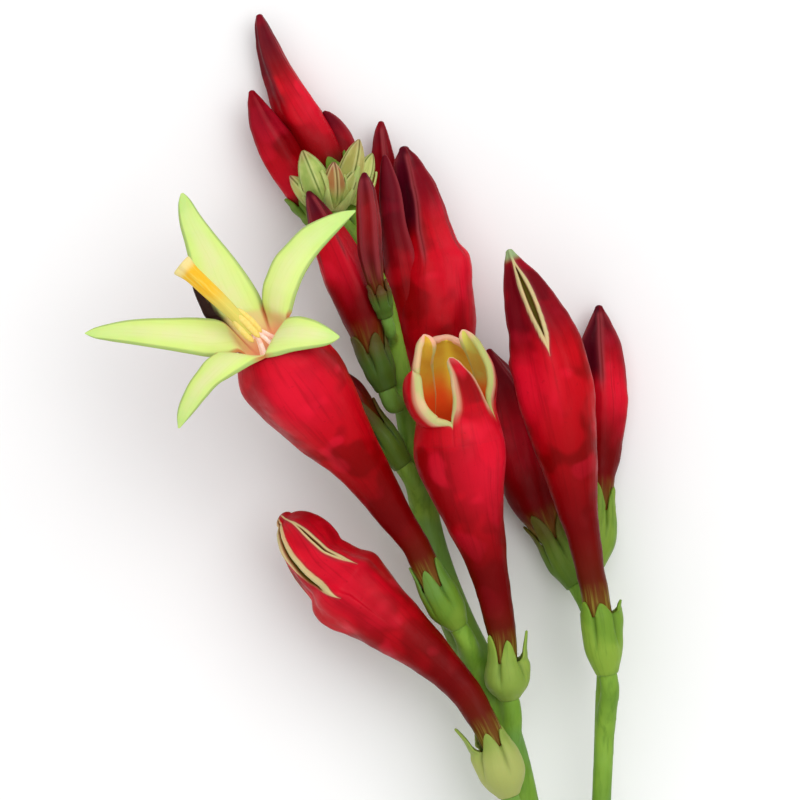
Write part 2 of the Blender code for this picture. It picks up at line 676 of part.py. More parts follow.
def main():
    for item in list(bpy.data.objects):
        bpy.data.objects.remove(item)
    pieces = [stem("stem")]
    for name, flower in BUDS.items():
        pieces.append(calyx(name + "_calyx", flower))
        pieces.append(closed_corolla(name + "_corolla", flower))
    for name, flower in OPEN_TUBES.items():
        pieces.append(calyx(name + "_calyx", flower))
        pieces.append(open_tube(name + "_tube", flower))
    pieces.append(lobes("open_flower", "lobe_yellow"))
    pieces.append(lobes("half_open_flower", "corolla_red"))
    pieces.append(stamens("open_flower_stamens", OPEN_TUBES["open_flower"]))
    pieces.append(style("open_flower_style"))
    pieces.append(young_buds("young_green_buds"))
    for piece in pieces:
        if min(vertex.co.z for vertex in piece.data.vertices) < 0.0:
            cut_at_surface(piece)
    stand_on_origin(pieces)


main()
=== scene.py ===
"""The flowering top of a pinkroot, laid on a pale surface and seen from straight above.

Places are in millimetres, measured from the middle of the flower head as in the part's source,
and turned into metres of the frame where a mesh is made.
"""

import math

import bpy
import numpy as np
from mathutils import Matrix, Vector, noise


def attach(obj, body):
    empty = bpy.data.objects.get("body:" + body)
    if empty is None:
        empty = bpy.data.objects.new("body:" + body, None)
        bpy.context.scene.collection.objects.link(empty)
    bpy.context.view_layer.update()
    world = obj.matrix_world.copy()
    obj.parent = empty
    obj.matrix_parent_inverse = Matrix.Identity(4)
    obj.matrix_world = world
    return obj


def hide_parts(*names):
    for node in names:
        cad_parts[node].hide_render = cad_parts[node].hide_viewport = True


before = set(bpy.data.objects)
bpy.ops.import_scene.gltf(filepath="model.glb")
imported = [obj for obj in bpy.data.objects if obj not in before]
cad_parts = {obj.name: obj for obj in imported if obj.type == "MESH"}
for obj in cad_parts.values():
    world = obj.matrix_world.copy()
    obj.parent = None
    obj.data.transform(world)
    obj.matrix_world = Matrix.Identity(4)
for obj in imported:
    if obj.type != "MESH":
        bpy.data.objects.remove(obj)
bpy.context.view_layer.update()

MM = 0.001
# From the flower head's own origin to the frame's, in millimetres.
HEAD = np.array((4.79, 32.36, 0))
TURN = 2 * math.pi
SECTOR = TURN / 5
UPWARD = (0, 0, 1)
# Nothing reaches lower than this; what rests on the surface is pressed flat there.
LOWEST = 0.03


# Numbers, lines and directions.

def smooth(low, high, value):
    """0 at low, 1 at high, and an S-shaped rise between them."""
    share = np.clip((np.asarray(value, float) - low) / (high - low), 0, 1)
    return share * share * (3 - 2 * share)


def bell(value, middle, width):
    return np.exp(-((np.asarray(value, float) - middle) / width) ** 2)


def unit(vectors):
    return vectors / np.maximum(np.linalg.norm(vectors, axis=-1, keepdims=True), 1e-9)


def curve(stations, shares):
    """Points of a smooth curve through all stations, at these shares of the way."""
    stations = np.asarray(stations, float)
    last = len(stations) - 1
    place = np.clip(shares, 0, 1) * last
    index = np.minimum(place.astype(int), last - 1)
    t = (place - index).reshape(-1, *([1] * (stations.ndim - 1)))
    before, start, end, after = (stations[np.clip(index + step, 0, last)] for step in (-1, 0, 1, 2))
    return 0.5 * (
        2 * start + (end - before) * t + (2 * before - 5 * start + 4 * end - after) * t ** 2
        + (3 * start - before - 3 * end + after) * t ** 3
    )


def lengths(points):
    """The distance run along a line of points, at each of them."""
    steps = np.linalg.norm(np.diff(points, axis=0), axis=1)
    return np.concatenate(([0], np.cumsum(steps)))


def along_line(distances, run, line):
    """Values of a line's columns at these distances along it."""
    return np.stack([np.interp(distances, run, column) for column in line.T], axis=-1)


def apart(first, second):
    """The unsigned angle between two directions round an axis."""
    return np.abs((first - second + math.pi) % TURN - math.pi)


def lumps(points, size, seed):
    """A slow unevenness between -1 and 1, one value for each point."""
    flat = points.reshape(-1, 3) / size + seed
    return np.array([noise.noise(Vector(p)) for p in flat]).reshape(points.shape[:-1])


def together(x, y, z):
    """One vector for each point of a grid, from values that may have one row or column."""
    return np.stack(np.broadcast_arrays(x, y, z), axis=-1)


def grain_of(angles, run):
    """Coordinates round and along a stalk or tube, for streaks that follow it."""
    return together(np.cos(angles), np.sin(angles), run)


def around(sides):
    """Even angles round an axis, in one row."""
    return np.linspace(0, TURN, sides, endpoint=False)[None, :]


class Stretch:
    """Places along an axis: their centres, directions and radii, and what is sideways and up."""

    def __init__(self, centre, direction, radius=None):
        self.centre, self.direction, self.radius = centre, direction, radius
        self.side = unit(np.cross(direction, UPWARD))
        self.up = np.cross(self.side, direction)

    def out(self, angles):
        """Directions away from the axis, a row of angles at each place."""
        return np.cos(angles)[..., None] * self.up[:, None] + np.sin(angles)[..., None] * self.side[:, None]

    def rings(self, angles, reach):
        """Points round the axis at these angles, this far from it."""
        return self.centre[:, None] + reach[..., None] * self.out(angles)


class Axis:
    """A smooth line with a radius, measured by the length run along it."""

    SAMPLES = 2000
    # The direction is taken over this share of the length, before and after each place.
    EASE = 0.025

    def __init__(self, stations):
        self.line = curve(stations, np.linspace(0, 1, self.SAMPLES))
        self.run = lengths(self.line[:, :3])
        self.length = self.run[-1]

    def sample(self, run):
        return along_line(run, self.run, self.line)

    def at(self, run):
        """The stretch at these distances along the axis."""
        reach = self.EASE * self.length
        ahead = self.sample(np.minimum(run + reach, self.length))[..., :3]
        behind = self.sample(np.maximum(run - reach, 0))[..., :3]
        here = self.sample(run)
        return Stretch(here[..., :3], unit(ahead - behind), here[..., 3])

    def evenly(self, rows):
        """Even distances along the whole axis, and the stretch there."""
        run = np.linspace(0, self.length, rows)
        return run, self.at(run)


# Meshes.

def quads(index):
    """Faces between neighbouring rows and columns of a grid of point numbers."""
    corners = (index[:-1, :-1], index[:-1, 1:], index[1:, 1:], index[1:, :-1])
    return np.stack(corners, axis=-1).reshape(-1, 4)


def turned(faces):
    """The same faces, looking the other way."""
    return faces[:, [0, 3, 2, 1]]


def closed(index):
    """The same grid with its first column again after the last."""
    return np.column_stack((index, index[:, 0]))


def flat(grid, values):
    """One mark for each point of a grid, from values that may have one row or column."""
    values = np.asarray(values, float)
    if values.ndim < 3:
        values = np.broadcast_to(values, grid.shape[:2])
    return values.reshape(grid.shape[0] * grid.shape[1], -1)


class Shape:
    """Points, faces and marks that are gathered for one piece."""

    # How far a blade's rim bulges out, as a share of its thickness: in the middle, and halfway
    # to each face.
    BULGE, HALFWAY = 0.5, 0.38

    def __init__(self):
        self.points, self.faces, self.marks, self.count = [], [], {}, 0

    def add(self, points, faces, **marks):
        for key, values in marks.items():
            values = np.asarray(values).reshape(len(points), -1)
            self.marks.setdefault(key, []).append((self.count, values))
        self.points.append(points)
        self.faces += (np.asarray(faces) + self.count).tolist()
        self.count += len(points)

    def add_grid(self, points, faces, **marks):
        """The same for points in a grid, whose marks may have one row or column."""
        self.add(points.reshape(-1, 3), faces, **{key: flat(points, values) for key, values in marks.items()})

    def rings(self, rings, **marks):
        """A skin over rings of equally many points, closed at both ends."""
        rows, columns = rings.shape[:2]
        index = np.arange(rows * columns).reshape(rows, columns)
        marks = {key: flat(rings, values) for key, values in marks.items()}
        start, end = index[0], index[-1]
        ends = [(start, np.roll(start, -1), start), (end, end, np.roll(end, -1))]
        first = self.count
        self.add(rings.reshape(-1, 3), quads(closed(index)), **marks)
        for ring, a, b in ends:
            middle = np.full(columns, self.count)
            self.faces += np.column_stack((middle, first + a, first + b)).tolist()
            self.add(rings.reshape(-1, 3)[ring].mean(axis=0)[None], np.zeros((0, 3), int),
                     **{key: values[ring].mean(axis=0) for key, values in marks.items()})

    def leaf(self, grid, thickness, **marks):
        """A blade whose upper face is the grid, with rounded edges all round.

        The face mark is 1 above and 0 below, and the edge mark is 1 round the rim.
        """
        rows, columns = grid.shape[:2]
        count = rows * columns
        index = np.arange(count).reshape(rows, columns)
        loop = np.concatenate((index[0, :-1], index[:-1, -1], index[-1, :0:-1], index[:0:-1, 0]))
        size = len(loop)
        normal = unit(np.cross(np.gradient(grid, axis=1), np.gradient(grid, axis=0))).reshape(-1, 3)
        thick = flat(grid, thickness)
        above = grid.reshape(-1, 3)
        below = above - normal * thick
        top, bottom, thick = above[loop], below[loop], thick[loop]
        middle = 0.5 * (top + bottom)
        tangent = unit(np.roll(middle, -1, axis=0) - np.roll(middle, 1, axis=0))
        outward = unit(np.cross(tangent, normal[loop]))
        if np.sum((middle - above.mean(axis=0)) * outward) < 0:
            outward = -outward
        upper = 0.5 * (top + middle) + outward * thick * self.HALFWAY
        lower = 0.5 * (bottom + middle) + outward * thick * self.HALFWAY
        middle = middle + outward * thick * self.BULGE
        rim = np.vstack((loop, 2 * count + np.arange(3 * size).reshape(3, size), loop + count))
        faces = (quads(index), turned(quads(index)) + count, turned(quads(closed(rim))))
        face = np.repeat((1, 0, 0.8, 0.5, 0.2), (count, count, size, size, size))
        edge = np.repeat((0, 1), (2 * count, 3 * size)).astype(float)
        edge[np.concatenate((loop, loop + count))] = 0.55
        marks = {key: flat(grid, values) for key, values in marks.items()}
        marks = {key: np.concatenate((v, v, v[loop], v[loop], v[loop])) for key, v in marks.items()}
        points = np.concatenate((above, below, upper, middle, lower))
        self.add(points, np.concatenate(faces), face=face, edge=edge, **marks)

    def piece(self, name, material, slot, *nodes):
        """The object made of all this, riding on the frame in place of its CAD nodes."""
        points = np.concatenate(self.points)
        points[:, 2] = np.maximum(points[:, 2], LOWEST)
        mesh = bpy.data.meshes.new(name)
        mesh.from_pydata(((points + HEAD) * MM).tolist(), [], self.faces)
        for key, parts in self.marks.items():
            wide = parts[0][1].shape[1]
            values = np.zeros((len(points), wide), np.float32)
            for start, some in parts:
                values[start:start + len(some)] = some
            kind, field = ("FLOAT_VECTOR", "vector") if wide == 3 else ("FLOAT", "value")
            mesh.attributes.new(key, kind, "POINT").data.foreach_set(field, values.ravel())
        mesh.shade_smooth()
        mesh.materials.append(material)
        piece = bpy.data.objects.new(name, mesh)
        bpy.context.scene.collection.objects.link(piece)
        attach(piece, "root")
        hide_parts(*nodes)
        return piece


# Materials.

BLACK = (0, 0, 0)


class Paint:
    """A procedural material, built node by node."""

    def __init__(self, name):
        self.material = bpy.data.materials.new(name)
        self.material.use_nodes = True
        self.tree = self.material.node_tree
        self.shader = self.tree.nodes["Principled BSDF"]
        self.place = self.tree.nodes.new("ShaderNodeTexCoord").outputs["Object"]

    def node(self, kind, inputs, **properties):
        made = self.tree.nodes.new("ShaderNode" + kind)
        for key, value in properties.items():
            setattr(made, key, value)
        for key, value in inputs.items():
            self.put(made.inputs[key], value)
        return made.outputs

    def put(self, socket, value):
        if isinstance(value, bpy.types.NodeSocket):
            self.tree.links.new(value, socket)
        elif isinstance(value, tuple) and socket.type == "RGBA":
            socket.default_value = (*value, 1)
        else:
            socket.default_value = value

    def mark(self, name):
        return self.node("Attribute", {}, attribute_name=name)["Fac"]

    def stretched(self, vector, scale):
        return self.node("Mapping", {"Vector": vector, "Scale": scale})["Vector"]

    def cloud(self, scale, detail=2, roughness=0.5, vector=None):
        return self.node("TexNoise", {
            "Vector": vector or self.place, "Scale": scale, "Detail": detail, "Roughness": roughness,
        })["Fac"]

    def streaks(self, across, along, detail=2, roughness=0.5):
        """A cloud drawn out along the part's own length."""
        grain = self.node("Attribute", {}, attribute_name="grain")["Vector"]
        return self.cloud(1, detail, roughness, self.stretched(grain, (across, across, along)))

    def span(self, value, low, high, to_low=0, to_high=1):
        """A value spread smoothly between two limits."""
        return self.node("MapRange", {
            "Value": value, "From Min": low, "From Max": high, "To Min": to_low, "To Max": to_high,
        }, interpolation_type="SMOOTHSTEP")["Result"]

    def times(self, a, b):
        return self.node("Math", {0: a, 1: b}, operation="MULTIPLY")[0]

    def mix(self, share, a, b):
        return self.node("Mix", {0: share, 6: a, 7: b}, data_type="RGBA")[2]

    def rising(self, value, low, high, a, b, most=1):
        """The first colour, with the second where the value rises from low to high."""
        return self.mix(self.span(value, low, high, 0, most), a, b)

    def marked(self, colour, **over):
        """Colours laid over the first, each as strongly as the mark with its name."""
        for name, other in over.items():
            colour = self.mix(self.mark(name), colour, other)
        return colour

    def lit(self, colour, strength):
        """Painted glow: emission that stands in for light coming through thin petals from behind."""
        self.put(self.shader.inputs["Emission Color"], colour)
        self.shader.inputs["Emission Strength"].default_value = strength

    def done(self, colour, roughness, shine, glow, *relief):
        """The finished material; relief gives heights, each with its strength and depth in mm."""
        self.put(self.shader.inputs["Base Color"], colour)
        self.put(self.shader.inputs["Roughness"], self.span(self.cloud(900, 3), 0.3, 0.7, *roughness))
        bumps = {}
        for height, strength, depth in relief:
            bumps.update({"Height": height, "Strength": strength, "Distance": depth * MM})
            bumps = {"Normal": self.node("Bump", bumps)["Normal"]}
        self.put(self.shader.inputs["Normal"], bumps["Normal"])
        self.shader.inputs["Specular IOR Level"].default_value = shine
        self.shader.inputs["Subsurface Weight"].default_value = glow
        self.shader.inputs["Subsurface Scale"].default_value = 1.2 * MM
        return self.material


def darker(colour, share):
    return tuple(share * c for c in colour)


def petal_red(p, light, deep, bright):
    """Red with broad bright and deep patches, fine darker veins, a painted highlight and painted shade."""
    colour = p.rising(p.cloud(150), 0.44, 0.54, deep, light)
    colour = p.rising(p.cloud(230, 1), 0.56, 0.68, colour, bright, 0.6)
    # Painted highlight where the belly mark lies, and painted shade, darker towards the foot, where the low
    # mark lies.
    colour = p.marked(colour, belly=bright, low=darker(deep, 0.45))
    veins = p.streaks(8, 0.12, 3, 0.55)
    colour = p.rising(veins, 0.48, 0.74, colour, darker(deep, 0.6), 0.3)
    return p.rising(p.cloud(1700, 2, 0.6), 0.66, 0.74, colour, darker(deep, 0.5), 0.2), veins


def corolla_paint(name, *reds):
    """Waxy red petal with a brown-green foot, dark tip, pale seams, and slits painted dark olive as shade."""
    p = Paint(name)
    colour, veins = petal_red(p, *reds)
    colour = p.marked(colour, dark=(0.085, 0.0015, 0.009), rosy=(0.30, 0.036, 0.046),
                      foot=(0.11, 0.01, 0.002))
    sap = p.span(p.streaks(5, 0.2), 0.38, 0.60, 0.25, 1)
    colour = p.mix(p.times(p.mark("sap"), sap), colour, (0.26, 0.22, 0.030))
    cream = p.rising(p.cloud(800), 0.35, 0.65, (0.66, 0.50, 0.25), (0.58, 0.50, 0.24))
    # The slit colour is painted shade: dark olive in the seams' grooves and gaps.
    colour = p.marked(colour, inner=(0.60, 0.085, 0.012), cream=cream, cap=(0.30, 0.44, 0.20),
                      slit=(0.075, 0.055, 0.003))
    return p.done(colour, (0.32, 0.48), 0.07, 0.04, (veins, 0.25, 0.12), (p.cloud(3200), 0.12, 0.08))


def lobe_paint():
    """Yellow-green face with a pale middle, a green tip, a peach root and a red back, with a painted glow in
    the throat.
    """
    p = Paint("star_lobes")
    along, across = p.mark("along"), p.mark("across")
    colour = p.rising(across, 0.1, 0.85, (0.75, 0.79, 0.35), (0.67, 0.84, 0.22))
    colour = p.rising(along, 0.45, 1, colour, (0.53, 0.79, 0.22))
    colour = p.mix(p.times(p.span(p.cloud(330), 0.42, 0.62), 0.45), colour, (0.70, 0.84, 0.28))
    veins = p.streaks(3, 0.12)
    colour = p.rising(veins, 0.46, 0.74, colour, (0.60, 0.74, 0.19), 0.3)
    colour = p.mix(p.times(p.span(across, 0.84, 1), 0.65), colour, (0.26, 0.40, 0.11))
    colour = p.mix(p.times(p.span(along, 0.08, 0), 0.55), colour, (0.84, 0.56, 0.30))
    rim = p.times(p.span(along, 0.16, 0), p.span(across, 0.80, 0.99))
    colour = p.marked(p.mix(rim, colour, (0.55, 0.20, 0.06)), deep=(0.92, 0.42, 0.22))
    back = p.rising(across, 0.5, 0.95, (0.34, 0.008, 0.010), (0.40, 0.22, 0.06))
    under = p.span(p.mark("face"), 0.45, 0.10)
    # Painted shade, near black, where a folded margin lies in shadow.
    colour = p.marked(p.mix(under, colour, back), fold=(0.022, 0.004, 0.001))
    # Painted glow: the upper faces glow peach where they go down into the throat.
    p.lit(p.mix(under, p.marked(BLACK, deep=(0.92, 0.46, 0.30)), BLACK), 0.2)
    return p.done(colour, (0.44, 0.60), 0.2, 0.15, (veins, 0.22, 0.1), (p.cloud(3000), 0.08, 0.06))


def cup_paint():
    """Lobes still half upright: red backs, amber faces with a painted glow, and broad pale margins."""
    p = Paint("cup_lobes")
    along = p.mark("along")
    outside, veins = petal_red(p, *REDS)
    outside = p.marked(outside, blush=(0.76, 0.20, 0.18), margin=(0.72, 0.40, 0.24))
    face = p.marked((0.66, 0.40, 0.04), olive=(0.56, 0.54, 0.10))
    face = p.rising(p.cloud(420), 0.44, 0.62, face, (0.62, 0.26, 0.02), 0.35)
    face = p.rising(along, 0.42, 0.12, face, (0.85, 0.09, 0.012))
    face = p.marked(face, keel=(0.84, 0.64, 0.06))
    inside = p.span(p.mark("face"), 0.7, 0.2)
    cream = p.rising(p.cloud(300), 0.40, 0.60, (0.72, 0.51, 0.28), (0.52, 0.54, 0.21))
    cream = p.marked(cream, olive=(0.46, 0.49, 0.16), blush=(0.86, 0.42, 0.32))
    rim = p.times(p.span(p.mark("edge"), 0.35, 0.75), p.span(along, 0.005, 0.05))
    colour = p.mix(rim, p.mix(inside, outside, face), cream)
    # Painted glow: the inner faces glow in their amber colour.
    p.lit(p.mix(inside, BLACK, face), 0.11)
    return p.done(colour, (0.38, 0.54), 0.1, 0.15, (veins, 0.25, 0.1))


def green_paint(name, light, deep, shade, grained):
    """Fresh green skin with streaks, pale patches, and painted shade in clefts and on shaded calyxes.

    The streaks run along y, or along the part itself where it is grained.
    """
    p = Paint(name)
    if grained:
        streaks = p.streaks(5, 0.22, 3, 0.6)
    else:
        streaks = p.cloud(1500, 3, 0.6, p.stretched(p.place, (1, 0.14, 1)))
    colour = p.rising(p.cloud(170), 0.38, 0.62, deep, light)
    colour = p.rising(p.cloud(95, 1), 0.52, 0.66, colour, (0.11, 0.26, 0.055), 0.6)
    colour = p.rising(streaks, 0.46, 0.72, colour, shade, 0.65)
    colour = p.marked(colour, pale=(0.40, 0.43, 0.12), dark=(0.04, 0.085, 0.006),
                      brown=(0.10, 0.018, 0.004))
    return p.done(colour, (0.42, 0.60), 0.2, 0.06, (streaks, 0.35, 0.14), (p.cloud(2600), 0.14, 0.08))


def young_paint():
    """Young buds: pale green, painted shade in the clefts, and pink to brown where the petals show."""
    p = Paint("young_buds")
    colour = p.rising(p.cloud(420), 0.36, 0.66, (0.30, 0.42, 0.085), (0.50, 0.57, 0.16))
    veins = p.streaks(7, 0.6)
    colour = p.rising(veins, 0.48, 0.72, colour, (0.23, 0.34, 0.06), 0.5)
    colour = p.marked(colour, rosy=(0.36, 0.095, 0.03), dark=(0.34, 0.05, 0.055),
                      slit=(0.035, 0.075, 0.005), cream=(0.56, 0.58, 0.24))
    return p.done(colour, (0.42, 0.58), 0.2, 0.08, (veins, 0.25, 0.1))


def style_paint():
    """The style: pale yellow below, golden and faintly grooved above, with a pale lip."""
    p = Paint("style")
    along, streaks = p.mark("along"), p.streaks(5, 0.4)
    colour = p.rising(along, 0.35, 0.68, (0.72, 0.62, 0.12), (0.90, 0.50, 0.015))
    colour = p.rising(streaks, 0.45, 0.70, colour, (0.80, 0.66, 0.13), 0.6)
    colour = p.rising(along, 0.88, 0.98, colour, (0.86, 0.70, 0.28))
    return p.done(colour, (0.40, 0.56), 0.25, 0.1, (streaks, 0.35, 0.12))


def stamen_paint():
    """Pinkish threads with a painted glow, and golden anthers with grainy pollen."""
    p = Paint("stamens")
    thread = p.rising(p.cloud(900), 0.4, 0.6, (0.98, 0.86, 0.78), (0.93, 0.64, 0.54))
    grains = p.cloud(2600)
    anther = p.rising(grains, 0.3, 0.7, (0.93, 0.67, 0.15), (0.94, 0.73, 0.22))
    # Painted glow: the threads glow in their own colour, the anthers not.
    p.lit(p.marked(thread, anther=BLACK), 0.22)
    return p.done(p.marked(thread, anther=anther), (0.46, 0.62), 0.2, 0.12, (grains, 0.06, 0.05))


def ground_paint():
    p = Paint("surface")
    colour = p.mix(p.cloud(60, 4), (0.93, 0.93, 0.93), (0.96, 0.96, 0.96))
    return p.done(colour, (0.74, 0.84), 0.1, 0, (p.cloud(900, 3), 0.05, 0.1))


REDS = ((0.50, 0.0010, 0.006), (0.27, 0.0003, 0.001), (0.78, 0.0080, 0.032))
RED = corolla_paint("red_petals", *REDS)
# Painted shade: a darker copy of the red petals, for buds that lie in shade.
SHADED_RED = corolla_paint("shaded_petals", (0.24, 0.0012, 0.004), (0.15, 0.0006, 0.002), (0.30, 0.004, 0.009))
LOBES = lobe_paint()
CUP_LOBES = cup_paint()
STEM = green_paint("stem_skin", (0.215, 0.38, 0.038), (0.155, 0.30, 0.026), (0.11, 0.235, 0.018),
                   grained=False)
SEPAL = green_paint("sepal_skin", (0.235, 0.375, 0.038), (0.155, 0.29, 0.022), (0.11, 0.225, 0.015),
                    grained=True)
YOUNG = young_paint()
YELLOW = style_paint()
STAMEN = stamen_paint()


# Flowers and buds.

class Given:
    """Named values; what isn't given is as its class says."""

    def __init__(self, **own):
        vars(self).update(own)


class Cup(Given):
    """A calyx: its width, how far its sepals reach, the angle of the first, its colour, and how much painted
    shade darkens it.

    Horns are sepals that stand off, and lengths are those of sepals unlike the others.
    """

    painted_shade = pale = brown = 0
    horns = lengths = {}


class Bud(Given):
    """A closed corolla.

    Its axis has x, y, z and the radius, and its base is where the calyx begins. Turns are the
    seams' angles in degrees at distances from the tip, and drifts are those of one seam. A seam
    has its number, where it starts and ends, its gap, the widths of its two lips, and whether
    it closes. A bump has its angle, place, height and spread, and its lengths below and above.
    """

    seams = bumps = loose_lobe = ()
    drifts = valves = {}
    fine = False
    # lit is the angle of a bud's painted highlight, glow where that highlight lies from the tip and how far
    # it spreads, and low how strong the painted shade is towards the foot.
    columns = rows = glow = valve_end = None
    clear = wide_rosy = 1
    lit = 20
    low = sap = 0.9
    cap = 0


class Tube(Given):
    """The tube of an open flower, given in the same way."""

    # Each tube also gives the angle of its painted highlight, and the shares of its length over which painted
    # shade at the foot fades out.
    sap = 0.9


